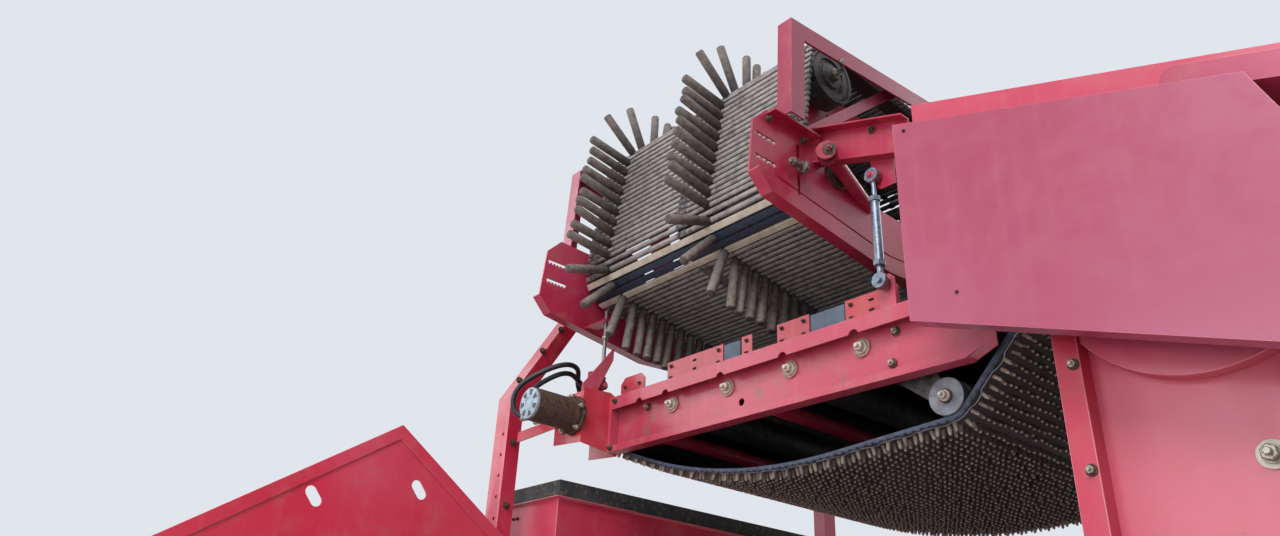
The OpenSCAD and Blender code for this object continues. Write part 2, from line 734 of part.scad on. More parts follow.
module rubber_apron() {
  color("black") difference() {
    block([box_x[0] + wall_t, box_x[1] - wall_t], [box_y[0] + wall_t, box_y[1] - wall_t],
          [box_top - 90, box_top + 60]);
    block([box_x[0] - 1, box_x[1] - wall_t - apron_t], [box_y[0] + wall_t + apron_t, box_y[1] + 1],
          [box_top - 91, box_top + 61]);
  }
}
apron_t = 8;

// Gabled end panel outboard of the discharge end
gable_x = -900;
gable_apex = [near - 669, 842];
gable_y = [near - 1370, near - 150];
gable_pitch = 34.5;
gable_flange = 35;
function gable_z(y) = gable_apex[1] - abs(y - gable_apex[0]) * tan(gable_pitch);
module gable_panel() {
  outline = [[gable_y[0], base_top], [gable_y[0], gable_z(gable_y[0])], gable_apex,
             [gable_y[1], gable_z(gable_y[1])], [gable_y[1], base_top]];
  color("crimson") difference() {
    sheet_yz([gable_x - gable_flange, gable_x], outline);
    sheet_yz([gable_x - gable_flange - 1, gable_x - gable_dish - wall_t], inset(outline, wall_t));
    sheet_yz([gable_x - gable_dish, gable_x + 1], inset(outline, gable_rim));
    for (c = [[gable_apex[0] - 244, 570], [gable_apex[0] + 93, 648]])
      translate([gable_x - gable_flange - 1, c[0], c[1]]) rotate([-slot_lean, 0, 0]) {
        for (y = [-slot_half, slot_half]) bar_x([0, gable_flange + 2], y, 0, slot_w);
        translate([0, -slot_half, -slot_w / 2]) cube([gable_flange + 2, 2 * slot_half, slot_w]);
      }
  }
}
gable_dish = 6;
gable_rim = 38;
slot_lean = 50;
slot_half = 16;
slot_w = 34;

// Posts that carry the finger web's pivot
pivot_post_x = [[arm_left_x[0] - 5 - 60, arm_left_x[0] - 5], [arm_right_x[1] + 5, arm_right_x[1] + 65]];
module pivot_posts() {
  color("crimson") {
    for (x = pivot_post_x)
      difference() {
        block(x, [pivot_y - pivot_half, pivot_y + pivot_half], [base_top, pivot_z + 50]);
        block([x[0] + post_t, x[1] - post_t],
              [pivot_y - pivot_half + post_t, pivot_y + pivot_half - post_t],
              [base_top + post_t, pivot_z - 60]);
      }
    bar_x([pivot_post_x[0][1], arm_left_x[1] + 8], pivot_y, pivot_z, pivot_d);
    bar_x([arm_right_x[0] - 8, pivot_post_x[1][0]], pivot_y, pivot_z, pivot_d);
  }
}
pivot_half = 38;

module infeed_web() {
  color("gray") {
    for (i = [0 : infeed_n - 1]) {
      p = loop_at(infeed_loop, i * loop_len(infeed_loop) / infeed_n, rod_h);
      translate([p[0], infeed_half, p[1]]) rotate([90, 0, 0]) rotate(p[2])
        cylinder(d = rod_d, h = 2 * infeed_half, $fn = 6);
    }
    for (y = infeed_belt_ys)
      translate([0, y + web_belt_w, 0]) rotate([90, 0, 0]) linear_extrude(web_belt_w)
        loop_band(infeed_loop, 0, web_belt_t);
  }
}
infeed_belt_ys = [-infeed_half + 20, -web_belt_w / 2, infeed_half - 20 - web_belt_w];
module infeed_rollers() {
  color("dimgray") for (c = [head_c, tail_c]) {
    bar_y(c[0], [-wall_y + wall_t, wall_y - wall_t], c[1], web_shaft_d);
    for (y = infeed_belt_ys)
      bar_y(c[0], [y - 5, y + web_belt_w + 5], c[1], 2 * (infeed_r - roll_gap));
  }
}
web_shaft_d = 50;

// Side arms of the finger web: sheets with a slotted end and a turned lower edge
plate_z = 1422;
arm_nose = near - 327;
function arm_pts(front) = [
  [front, plate_z], [front + 18, plate_z + 190], [front + 77, plate_z + 251],
  [front + 303, plate_z + 242], [near + 12, plate_z + 159], [near + 243, plate_z + 131],
  [far - 480, plate_z + 118], [pivot_y - 60, pivot_z + 60], [pivot_y + 60, pivot_z + 60],
  [pivot_y + 60, pivot_z - 60], [pivot_y - 60, pivot_z - 75], [near + 276, plate_z - 120],
  [front + 55, plate_z - 57]
];
// The turned lower edge, h high
function arm_edge(front, h) = [
  [front, plate_z], [front + 20, plate_z + h], [front + 80, plate_z - 57 + h],
  [near + 276, plate_z - 120 + h], [pivot_y - 60, pivot_z - 75 + h], [pivot_y - 60, pivot_z - 75],
  [near + 276, plate_z - 120], [front + 55, plate_z - 57]
];
edge_w = 36;
slot_teeth = 6;
module arm(xs, out, front) {
  turned = out > 0 ? [xs[1], xs[1] + edge_w] : [xs[0] - edge_w, xs[0]];
  hollow = out > 0 ? [xs[1], xs[1] + edge_w - arm_t] : [xs[0] - edge_w + arm_t, xs[0]];
  difference() {
    union() {
      sheet_yz(xs, arm_pts(front));
      for (c = [web_front_low, web_rear_low]) bar_x(xs, c[0], c[1], 110);
      difference() {
        sheet_yz(turned, arm_edge(front, 62));
        translate([0, 0, arm_t]) sheet_yz(hollow, arm_edge(front, 120));
      }
      block(turned, [front + 77, front + 303], [plate_z + 236, plate_z + 242]);
    }
    bar_x([xs[0] - 1, xs[1] + 1], pivot_y, pivot_z, pivot_d + 0.1);
    for (z = [66, 145], k = [0 : slot_teeth - 1]) {
      y = front + 26 + 15 * k;
      block([xs[0] - 1, xs[1] + 1], [y, y + 15.1], [plate_z + z, plate_z + z + 11]);
      block([xs[0] - 1, xs[1] + 1], [y + 3, y + 9], [plate_z + z - 6, plate_z + z + 1]);
    }
  }
}
// An ear bent out of the plate, with the boss that carries the beam
ear_turn = 28;
ear_reach = 90;
module arm_ear(xs, front) {
  translate([xs[1], front + 212, plate_z]) rotate([0, 0, ear_turn]) {
    translate([0, 8, 0]) rotate([90, 0, 0]) linear_extrude(8)
      polygon([[-2, 10], [-2, 190], [ear_reach - 12, 178], [ear_reach + 30, 150], [ear_reach + 22, 116]]);
    translate([ear_reach, 34, 148]) rotate([90, 0, 0]) cylinder(d = 62, h = 44, $fn = 32);
  }
}
module arm_right() {
  color("crimson") difference() {
    union() {
      arm(arm_right_x, 1, arm_nose);
      arm_ear(arm_right_x, arm_nose);
    }
    block([arm_right_x[1], arm_right_x[1] + 200], [tb_y - 16, tb_y + 100], [plate_z, plate_z + 300]);
  }
}
left_nose = arm_nose + 70;
module arm_left() {
  color("crimson") {
    arm(arm_left_x, -1, left_nose);
    difference() {
      block([arm_left_x[1], screw_x + 24], [screw_y - 22, screw_y + 22], lug_z);
      bar_z(screw_x, screw_y, [lug_z[0] - 1, lug_z[1] + 1], screw_d + 8);
    }
  }
}
module arm_tubes() {
  color("crimson") {
    for (p = tube_spots) bar_x([arm_left_x[1], arm_right_x[0]], p[0], p[1], tube_d);
    for (x = inner_xs)
      difference() {
        union() {
          sheet_yz([x, x + arm_t], [
            [tube_spots[0][0] - 45, tube_spots[0][1]], [web_front_top[0] - 45, web_front_top[1]],
            [web_front_top[0], web_front_top[1] + 45], [web_rear_top[0], web_rear_top[1] + 45],
            [web_rear_top[0] + 45, web_rear_top[1]], [tube_spots[1][0] + 45, tube_spots[1][1]]
          ]);
          for (p = tube_spots) bar_x([x, x + arm_t], p[0], p[1], 90);
        }
        for (c = [web_front_top, web_rear_top]) bar_x([x - 1, x + arm_t + 1], c[0], c[1], web_shaft_d + 0.1);
        sheet_yz([x - 1, x + arm_t + 1], [
          [tube_spots[0][0] + 50, tube_spots[0][1] + 90], [web_front_top[0] + 90, web_front_top[1] - 60],
          [web_rear_top[0] - 70, web_rear_top[1] - 60], [tube_spots[1][0] - 60, tube_spots[1][1] + 90]
        ]);
      }
  }
}
tube_spots = [[near + 260, 1500], [far - 480, 1470]];
tube_d = 60;
inner_xs = [web_belt_xs[0] + web_belt_w + 40, web_belt_xs[2] - 46];
beam_end = 640;
beam_rise = 1712;
function outrigger_pts(h0, h1, x0, x1) = [
  [x0, beam_rise - (x0 - arm_right_x[1]) * slope_t - h1],
  [x0, beam_rise - (x0 - arm_right_x[1]) * slope_t - h0],
  [x1, beam_rise - (x1 - arm_right_x[1]) * slope_t - h0],
  [x1, beam_rise - (x1 - arm_right_x[1]) * slope_t - h1]
];
module outrigger() {
  y = [tb_y - 16, near];
  x0 = arm_right_x[1];
  color("crimson") {
    difference() {
      union() {
        difference() {
          sheet_xz(y, outrigger_pts(0, beam_h, x0, beam_end));
          sheet_xz([y[0] - 1, y[1] - 5], outrigger_pts(5, beam_h - 5, x0 + 6, beam_end + 1));
        }
        sheet_xz([near - 5, near], [[tb_x - 16, tb_z[1] - 22], [tb_x - 16, tb_z[1] + 90],
          [tb_x + 60, tb_z[1] + 60], [tb_x + 60, tb_z[1] - 40], [tb_x + 12, tb_z[1] - 40]]);
        bar([x0 + 52, near - 1, beam_rise - 128], [x0 - 1, near + 240, beam_rise - 180], brace_d);
      }
      block([x0 - 40, x0], [near, near + 300], [beam_rise - 220, beam_rise]);
    }
    bar_y(tb_x, [tb_y + 8, near - 5], tb_z[1], stud_d);
    bar_y(tb_x, [tb_y - 19, tb_y - 8], tb_z[1], stud_d);
    translate([tb_x, tb_y, tb_z[1]]) rotate([90, 0, 0]) sphere(d = ball_d, $fn = 48);
  }
}
beam_h = 130;
brace_d = 44;
guard_w = 64;
guard_flange = 56;
function guard_pts(nose) =
  [[nose + 122, 1604], [nose + 140, 2035], [near + 660, 2114], [near + 700, 1480]];
module guard(xs, out, nose) {
  pts = guard_pts(nose);
  foot = plate_z + 242;
  sheet = out > 0 ? [xs[1] - arm_t, xs[1]] : [xs[0], xs[0] + arm_t];
  brace = out > 0 ? [xs[0], xs[0] + arm_t] : [xs[1] - arm_t, xs[1]];
  difference() {
    union() {
      difference() {
        sheet_yz(sheet, pts);
        sheet_yz([sheet[0] - 1, sheet[1] + 1], inset(pts, guard_w));
      }
      difference() {
        sheet_yz(xs, pts);
        sheet_yz([xs[0] - 1, xs[1] + 1], inset(pts, arm_t));
      }
      sheet_yz(brace, [[nose + 217, foot], [nose + 717, 2086], [nose + 781, 2092], [nose + 272, foot]]);
    }
    block([xs[0] - 1, xs[1] + 1], [nose, near + 700 - guard_w], [1400, foot]);
    if (out > 0)
      block([xs[0] - 1, xs[1] + 1], [tb_y - 16, near], [foot - 10, beam_rise]);
  }
}
module guard_frames() {
  color("crimson") {
    guard([arm_right_x[1], arm_right_x[1] + guard_flange], 1, arm_nose);
    guard([arm_left_x[0] - guard_flange, arm_left_x[0]], -1, left_nose);
  }
}
module web_rollers() {
  color("dimgray") for (c = [web_front_top, web_rear_top, web_rear_low, web_front_low]) {
    ends = c[1] > 1800 ? [web_xs[0], web_xs[1]] : [arm_left_x[1], arm_right_x[0]];
    bar_x(ends, c[0], c[1], web_shaft_d);
    for (x = web_belt_xs)
      bar_x([x - 5, x + web_belt_w + 5], c[0], c[1], 2 * (c[2] - roll_gap));
  }
}
module web_belts() {
  color("black") for (x = web_belt_xs)
    translate([x, 0, 0]) rotate([90, 0, 90]) linear_extrude(web_belt_w)
      loop_band(web_loop, 0, web_belt_t);
}
module web_rods() {
  color("tan") for (i = [0 : rod_n - 1]) {
    p = loop_at(web_loop, i * web_len / rod_n, rod_h);
    translate([web_xs[0], p[0], p[1]]) rotate([p[2], 0, 0]) rotate([0, 90, 0]) rotate(90)
      cylinder(d = rod_d, h = rod_len, $fn = 6);
  }
}
module finger_row(x) {
  for (i = [0 : 2 : rod_n - 1]) {
    p = loop_at(web_loop, i * web_len / rod_n, rod_h + rod_d / 2 + rod_gap);
    translate([x, p[0], p[1]]) rotate([p[2] - 90, 0, 0])
      cylinder(d = finger_d, h = finger_len, $fn = 6);
  }
}
module finger_row_left() { color("dimgray") finger_row(finger_rows[0]); }
module finger_row_right() { color("dimgray") finger_row(finger_rows[1]); }

// Side cover, hinged along its sloping top edge
cover_y = -wall_y - cover_off;
cover_tl = [696, 1462];
cover_fold = [1471, 1700];
function cover_pts() = [
  cover_tl,
  [cover_fold[0], cover_tl[1] - (cover_fold[0] - cover_tl[0]) * slope_t],
  [cover_fold[1], cover_tl[1] - cover_h - (cover_fold[1] - cover_tl[0]) * slope_t],
  [cover_tl[0], cover_tl[1] - cover_h]
];
module side_cover() {
  p = cover_pts();
  q = inset(p, cover_t);
  color("palevioletred") {
    difference() {
      sheet_xz([cover_y, cover_y + cover_depth], p);
      sheet_xz([cover_y + cover_t, cover_y + cover_depth + 1], q);
    }
    sheet_xz([cover_y, cover_y + cover_end_depth], [p[1], p[2], q[2], q[1]]);
    for (s = hinge_spots) difference() {
      along_top(s + knuckle + 2) {
        rotate([0, 90, 0]) cylinder(d = knuckle_d, h = knuckle, $fn = 32);
        translate([0, -2, -hinge_up * cos(infeed_slope) - 1])
          cube([knuckle, 4, hinge_up * cos(infeed_slope)]);
      }
      along_top(s) rotate([0, 90, 0]) cylinder(d = hinge_pin_d + 0.1, h = 4 * knuckle, $fn = 32);
    }
  }
}
hinge_spots = [60, 360, 660];
hinge_y = cover_y + cover_depth - 8;
hinge_up = 12;
knuckle = 32;
knuckle_d = 16;
hinge_pin_d = 8;
module along_top(s) {
  translate([cover_tl[0], hinge_y, cover_tl[1] + hinge_up]) rotate([0, infeed_slope, 0])
    translate([s, 0, 0]) children();
}
module cover_hinge() {
  color("crimson") {
    along_top(40) {
      translate([0, 14, -2]) cube([920, -wall_y - hinge_y - 14.1, 5]);
      translate([602, 18, 2]) rotate([90, 0, 0]) linear_extrude(4) {
        translate([25, 0]) square([293, 58]);
        square([318, 33]);
        translate([25, 33]) circle(25, $fn = 48);
      }
    }
    for (s = hinge_spots) along_top(s) {
      for (t = [0, 2 * knuckle + 4]) {
        rotate([0, 90, 0]) translate([0, 0, t]) cylinder(d = knuckle_d, h = knuckle, $fn = 32);
        translate([t, 0, -2]) cube([knuckle, 15, 5]);
      }
      rotate([0, 90, 0]) cylinder(d = hinge_pin_d, h = 3 * knuckle + 4, $fn = 32);
    }
  }
}

base_rail_near();
base_rail_far();
base_cross();
base_feet();
post_near();
post_far();
end_posts();
chute_box();
side_wall_near();
side_wall_far();
drum_cover();
belt_rail_near();
belt_rail_far();
rail_cross_tubes();
rail_hangers();
edge_plates();
rubber_flaps();
support_rollers();
drive_roller();
end_roller();
return_roller();
pintle_belt();
motor_bracket();
belt_motor();
motor_hoses();
crank_post();
post_struts();
screw_stand();
turnbuckle_tube();
rubber_apron();
gable_panel();
side_beams();
pivot_posts();
infeed_web();
infeed_rollers();
arm_right();
arm_left();
arm_tubes();
outrigger();
guard_frames();
web_rollers();
web_belts();
web_rods();
finger_row_left();
finger_row_right();
turnbuckle_rod();
side_cover();
cover_hinge();
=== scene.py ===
import json
import math
import random

import bpy
from mathutils import Matrix, Vector


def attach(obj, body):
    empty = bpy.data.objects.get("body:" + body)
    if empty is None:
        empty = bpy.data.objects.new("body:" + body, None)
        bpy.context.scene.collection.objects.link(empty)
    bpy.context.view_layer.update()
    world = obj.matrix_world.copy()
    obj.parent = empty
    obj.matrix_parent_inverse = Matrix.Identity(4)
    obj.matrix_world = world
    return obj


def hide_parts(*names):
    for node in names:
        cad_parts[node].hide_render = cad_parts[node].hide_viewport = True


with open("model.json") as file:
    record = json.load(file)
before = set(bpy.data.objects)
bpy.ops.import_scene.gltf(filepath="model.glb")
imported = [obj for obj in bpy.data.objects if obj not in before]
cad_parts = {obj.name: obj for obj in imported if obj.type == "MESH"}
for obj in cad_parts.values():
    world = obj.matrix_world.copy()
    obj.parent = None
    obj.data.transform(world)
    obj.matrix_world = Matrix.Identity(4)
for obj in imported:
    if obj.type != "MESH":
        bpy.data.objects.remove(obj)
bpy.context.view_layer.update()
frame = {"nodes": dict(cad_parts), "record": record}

# Sizes and places are in millimetres, as in the part's source, and become metres by MM
MM = 0.001
chance = random.Random(11)


# Camera at floor level, solved from the rail, the posts and the cover; its place is in metres
CAMERA_PLACE = (1.8, -2.6, 0.04)
LENS = 25.3125
SENSOR = 36.0


def make_camera():
    """Sets the camera, turned as the photo was taken."""
    right = Vector((0.65087, 0.75776, 0.04657))
    up = Vector((0.30785, -0.31950, 0.89619))
    ahead = Vector((-0.69397, 0.56897, 0.44123))
    data = bpy.data.cameras.new("camera")
    data.sensor_width = SENSOR
    data.lens = LENS
    data.clip_start = 0.05
    data.clip_end = 100.0
    camera = placed("camera", data)
    turn = Matrix((right, up, -ahead)).transposed().to_4x4()
    camera.matrix_world = Matrix.Translation(CAMERA_PLACE) @ turn
    bpy.context.scene.camera = camera


# Colours and nodes
def linear(code, alpha=1.0):
    """An sRGB hex colour as linear values."""
    parts = [int(code[i:i + 2], 16) / 255 for i in (1, 3, 5)]
    return (*[c / 12.92 if c <= 0.04045 else ((c + 0.055) / 1.055) ** 2.4 for c in parts], alpha)


def add(mat, kind, inputs=None, **settings):
    """Adds a node. An input's value is a number, a colour, or a (node, output) to link from."""
    node = mat.node_tree.nodes.new("ShaderNode" + kind)
    for key, value in settings.items():
        setattr(node, key, value)
    for key, value in (inputs or {}).items():
        if isinstance(value, tuple) and isinstance(value[0], bpy.types.Node):
            mat.node_tree.links.new(value[0].outputs[value[1]], node.inputs[key])
        else:
            node.inputs[key].default_value = value
    return node


def start_material(name):
    mat = bpy.data.materials.new(name)
    mat.use_nodes = True
    mat.node_tree.nodes.clear()
    return mat


def close_material(mat, shader):
    add(mat, "OutputMaterial", {"Surface": (shader, "BSDF")})
    return mat


def ramp(mat, source, stops):
    """A colour ramp over a node's factor, from a list of (place, colour)."""
    node = add(mat, "ValToRGB", {"Fac": source})
    while len(node.color_ramp.elements) < len(stops):
        node.color_ramp.elements.new(0.5)
    for element, (place, colour) in zip(node.color_ramp.elements, stops):
        element.position = place
        element.color = colour
    return node


def grey(level):
    return (level, level, level, 1.0)


# Red machine enamel sprayed on sheet steel: glossy, faded, rain-streaked, dusty in patches
def red_enamel(name, base, faded, deep, dust=0.3, mud=0.5, lines=0.0, stains=()):
    mat = start_material(name)
    place = add(mat, "TexCoord")
    # Fading in soft fields about 900 mm across
    broad = add(mat, "TexNoise", {"Vector": (place, "Object"), "Scale": 1.1, "Detail": 3.0,
                                  "Roughness": 0.45})
    fade = ramp(mat, (broad, "Fac"), [(0.34, linear(deep)), (0.5, linear(base)), (0.68, linear(faded))])
    # Rain runs down the sheets, about 30 mm apart
    upright = add(mat, "Mapping", {"Vector": (place, "Object"), "Scale": (34.0, 34.0, 1.3)})
    runs = add(mat, "TexNoise", {"Vector": (upright, "Vector"), "Scale": 1.0, "Detail": 4.0})
    streak = ramp(mat, (runs, "Fac"), [(0.52, grey(0.0)), (0.74, grey(0.3))])
    streaked = add(mat, "Mix", {0: (streak, "Color"), 6: (fade, "Color"), 7: linear(faded)},
                   data_type="RGBA")
    # Dried dust in patches about 70 mm across
    patch = add(mat, "TexNoise", {"Vector": (place, "Object"), "Scale": 14.0, "Detail": 8.0,
                                  "Roughness": 0.66})
    dusty = ramp(mat, (patch, "Fac"), [(0.5, grey(0.0)), (0.76, grey(dust))])
    painted = add(mat, "Mix", {0: (dusty, "Color"), 6: (streaked, 2), 7: linear("#AD8072")},
                  data_type="RGBA")
    # Mud specks 4 to 8 mm across, only where the dust lies
    speck = add(mat, "TexNoise", {"Vector": (place, "Object"), "Scale": 140.0, "Detail": 3.0})
    specks = ramp(mat, (speck, "Fac"), [(0.62, grey(0.0)), (0.68, grey(mud))])
    zone = ramp(mat, (patch, "Fac"), [(0.54, grey(0.0)), (0.64, grey(1.0))])
    muddy = add(mat, "Mix", {0: 1.0, 6: (specks, "Color"), 7: (zone, "Color")},
                data_type="RGBA", blend_type="MULTIPLY")
    surface = add(mat, "Mix", {0: (muddy, "Result"), 6: (painted, 2), 7: linear("#6A5040")},
                  data_type="RGBA")
    if lines:
        # Scratches where crop and tools rub along the sheet, about 5 mm apart
        stretch = add(mat, "Mapping", {"Vector": (place, "Object"), "Scale": (2.5, 4.0, 200.0),
                                       "Rotation": (0.0, 0.3, 0.0)})
        rubs = add(mat, "TexNoise", {"Vector": (stretch, "Vector"), "Scale": 1.3, "Detail": 2.0})
        scratch = ramp(mat, (rubs, "Fac"), [(0.7, grey(0.0)), (0.74, grey(lines))])
        surface = add(mat, "Mix", {0: (scratch, "Color"), 6: (surface, 2), 7: linear("#DE9AA0")},
                      data_type="RGBA")
    for centre, radius in stains:
        # Dried mud thrown on in one place, thin at its rim
        near = add(mat, "VectorMath", {0: (place, "Object"), 1: tuple(c * MM for c in centre)},
                   operation="DISTANCE")
        inside = add(mat, "MapRange", {"Value": (near, "Value"), "From Min": 0.2 * radius * MM,
                                       "From Max": radius * MM, "To Min": 1.0, "To Max": 0.0})
        crumb = add(mat, "TexNoise", {"Vector": (place, "Object"), "Scale": 90.0, "Detail": 7.0,
                                      "Roughness": 0.7})
        thick = add(mat, "Math", {0: (inside, "Result"), 1: (crumb, "Fac")}, operation="MULTIPLY")
        cover = ramp(mat, (thick, "Value"), [(0.4, grey(0.0)), (0.5, grey(0.75))])
        surface = add(mat, "Mix", {0: (cover, "Color"), 6: (surface, 2), 7: linear("#86604C")},
                      data_type="RGBA")
    rough = add(mat, "MapRange", {"Value": (patch, "Fac"), "From Min": 0.35, "From Max": 0.75,
                                  "To Min": 0.28, "To Max": 0.58})
    # Slight waves of the sheet, about 250 mm long, that bend its reflections
    wave = add(mat, "TexNoise", {"Vector": (place, "Object"), "Scale": 4.0, "Detail": 2.0})
    waves = add(mat, "Bump", {"Height": (wave, "Fac"), "Strength": 0.08, "Distance": 0.02})
    dents = add(mat, "Bump", {"Height": (patch, "Fac"), "Strength": 0.08, "Distance": 0.002,
                              "Normal": (waves, "Normal")})
    shader = add(mat, "BsdfPrincipled", {"Base Color": (surface, 2), "Roughness": (rough, "Result"),
                                         "Normal": (dents, "Normal"), "Coat Weight": 0.3,
                                         "Coat Roughness": 0.14})
    return close_material(mat, shader)


# A dull surface with two tones, a grain size in millimetres, specks, bump and a worn colour
# where the piece's own attribute "worn" says so; on some pieces that colour is also a painted highlight
def grained(name, dark, light, grain, rough=(0.5, 0.8), metal=0.0, bump=0.3, spread=0.16,
            speck=None, worn=None):
    mat = start_material(name)
    place = add(mat, "TexCoord")
    scale = 1000.0 / grain
    grainy = add(mat, "TexNoise", {"Vector": (place, "Object"), "Scale": scale, "Detail": 8.0,
                                   "Roughness": 0.65})
    tone = ramp(mat, (grainy, "Fac"), [(0.5 - spread, linear(dark)), (0.5 + spread, linear(light))])
    colour = (tone, "Color")
    if speck:
        fine = add(mat, "TexNoise", {"Vector": (place, "Object"), "Scale": scale * 3.1, "Detail": 4.0})
        mask = ramp(mat, (fine, "Fac"), [(0.56, grey(0.0)), (0.66, grey(1.0))])
        mixed = add(mat, "Mix", {0: (mask, "Color"), 6: colour, 7: linear(speck)}, data_type="RGBA")
        colour = (mixed, 2)
    if worn:
        mark = add(mat, "Attribute", attribute_name="worn")
        patchy = ramp(mat, (grainy, "Fac"), [(0.35, grey(0.35)), (0.6, grey(1.0))])
        amount = add(mat, "Math", {0: (mark, "Fac"), 1: (patchy, "Color")}, operation="MULTIPLY")
        mixed = add(mat, "Mix", {0: (amount, "Value"), 6: colour, 7: linear(worn)}, data_type="RGBA")
        colour = (mixed, 2)
    gloss = add(mat, "MapRange", {"Value": (grainy, "Fac"), "From Min": 0.3, "From Max": 0.7,
                                  "To Min": rough[0], "To Max": rough[1]})
    relief = add(mat, "Bump", {"Height": (grainy, "Fac"), "Strength": bump, "Distance": 0.002})
    shader = add(mat, "BsdfPrincipled", {"Base Color": colour, "Roughness": (gloss, "Result"),
                                         "Metallic": metal, "Normal": (relief, "Normal")})
    return close_material(mat, shader)


# Rolled thread on zinc-plated steel, drawn 4 mm apart so that it shows
def threaded(name):
    mat = start_material(name)
    place = add(mat, "TexCoord")
    turns = add(mat, "TexWave", {"Vector": (place, "Object"), "Scale": 80.0, "Distortion": 0.6},
                bands_direction="Z")
    tone = ramp(mat, (turns, "Fac"), [(0.2, linear("#5A5A56")), (0.7, linear("#B4B4AE"))])
    relief = add(mat, "Bump", {"Height": (turns, "Fac"), "Strength": 0.6, "Distance": 0.001})
    shader = add(mat, "BsdfPrincipled", {"Base Color": (tone, "Color"), "Metallic": 0.85,
                                         "Roughness": 0.38, "Normal": (relief, "Normal")})
    return close_material(mat, shader)


# Selecting, editing and placing pieces
def placed(name, data):
    """A new object in the scene, from a mesh, a camera or a lamp."""
    obj = bpy.data.objects.new(name, data)
    bpy.context.scene.collection.objects.link(obj)
    return obj


def deselect():
    if bpy.context.object and bpy.context.object.mode != "OBJECT":
        bpy.ops.object.mode_set(mode="OBJECT")
    bpy.ops.object.select_all(action="DESELECT")


def hold(obj):
    """Makes obj the one selected and active object."""
    deselect()
    obj.select_set(True)
    bpy.context.view_layer.objects.active = obj
    return obj


def edit_all(obj):
    """Opens obj in edit mode with all of it selected."""
    hold(obj)
    bpy.ops.object.mode_set(mode="EDIT")
    bpy.ops.mesh.select_all(action="SELECT")
    return obj


def pick(obj, test):
    """In edit mode, selects the faces for which test(centre, normal) holds."""
    bpy.ops.object.mode_set(mode="EDIT")
    bpy.ops.mesh.select_mode(type="FACE")
    bpy.ops.mesh.select_all(action="DESELECT")
    bpy.ops.object.mode_set(mode="OBJECT")
    for face in obj.data.polygons:
        face.select = test(face.center, face.normal)
    bpy.ops.object.mode_set(mode="EDIT")


def finish_edit():
    """Leaves edit mode."""
    bpy.ops.object.mode_set(mode="OBJECT")


def inset(width):
    """Insets the picked faces."""
    bpy.ops.mesh.inset(thickness=width * MM)


def push(x, y, z):
    """Extrudes what is picked along a vector."""
    bpy.ops.mesh.extrude_region_move(TRANSFORM_OT_translate={"value": (x * MM, y * MM, z * MM)})


def bevel_picked(width, steps=1):
    bpy.ops.mesh.bevel(offset=width * MM, segments=steps)


def facing(axis, way=0):
    """A test for faces that look along an axis: forwards for 1, backwards for -1, both ways for 0."""
    place = "xyz".index(axis)
    return lambda centre, normal: (normal[place] * way if way else abs(normal[place])) > 0.9


def chamfer(obj, test, width, steps=1):
    """Bevels the edges of the faces for which test holds."""
    pick(obj, test)
    bevel_picked(width, steps)
    finish_edit()
    return obj


def bake_place(obj):
    hold(obj)
    bpy.ops.object.transform_apply(location=True, rotation=True, scale=True)
    return obj


def smooth(obj, angle=35):
    hold(obj)
    bpy.ops.object.shade_smooth_by_angle(angle=math.radians(angle))
    return obj


def round_bar(radius, length, place, direction=(0, 0, 1), sides=24):
    """A round bar centred on place, along direction, ready for shaping."""
    deselect()
    bpy.ops.mesh.primitive_cylinder_add(vertices=sides, radius=radius * MM, depth=length * MM)
    bar = bpy.context.object
    bar.data.transform(towards(place, direction))
    return hold(bar)


def box_block(x, y, z):
    """A block from one corner to the opposite one, ready for shaping."""
    deselect()
    bpy.ops.mesh.primitive_cube_add(
        size=1, location=((x[0] + x[1]) / 2 * MM, (y[0] + y[1]) / 2 * MM, (z[0] + z[1]) / 2 * MM),
        scale=((x[1] - x[0]) * MM, (y[1] - y[0]) * MM, (z[1] - z[0]) * MM))
    return bake_place(bpy.context.object)


def round_edges(obj, width, steps=2, angle=35, edge_slot=-1):
    """Rounds an object's edges by a bevel that is applied."""
    hold(obj)
    edge = obj.modifiers.new("edge", "BEVEL")
    edge.width = width * MM
    edge.segments = steps
    edge.limit_method = "ANGLE"
    edge.angle_limit = math.radians(angle)
    edge.material = edge_slot
    bpy.ops.object.modifier_apply(modifier="edge")
    flat = obj.modifiers.new("flat", "WEIGHTED_NORMAL")
    flat.keep_sharp = True
    smooth(obj, 40)
    bpy.ops.object.modifier_apply(modifier="flat")
    return obj


def mark_wear_and_light(obj, amount):
    """Marks how worn each point is, and how much painted light it takes, from amount(place)."""
    mark = obj.data.attributes.new("worn", "FLOAT", "POINT")
    for point, value in zip(obj.data.vertices, mark.data):
        value.value = amount(point.co)
    return obj


def copied(obj, matrix):
    """A copy with its own mesh, moved by matrix."""
    twin = placed(obj.name, obj.data.copy())
    twin.data.transform(matrix)
    return twin


def join(objs):
    deselect()
    for obj in objs:
        obj.select_set(True)
    bpy.context.view_layer.objects.active = objs[0]
    if len(objs) > 1:
        bpy.ops.object.join()
    return bpy.context.view_layer.objects.active


def drop(*objs):
    for obj in objs:
        bpy.data.objects.remove(obj)


def settle(obj, name, body, mat, slot, *nodes):
    """Names a finished piece, gives it its material and puts it on its body."""
    bake_place(obj)
    obj.name = name
    obj.data.name = name
    if mat:
        obj.data.materials.clear()
        obj.data.materials.append(mat)
    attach(obj, body)
    if nodes:
        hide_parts(*nodes)
    return obj


def towards(place, direction, spin=0.0):
    """A matrix that puts a piece made along +Z at place, along direction."""
    turn = Vector(direction).to_track_quat("Z", "Y").to_matrix().to_4x4()
    return Matrix.Translation(Vector(place) * MM) @ turn @ Matrix.Rotation(spin, 4, "Z")


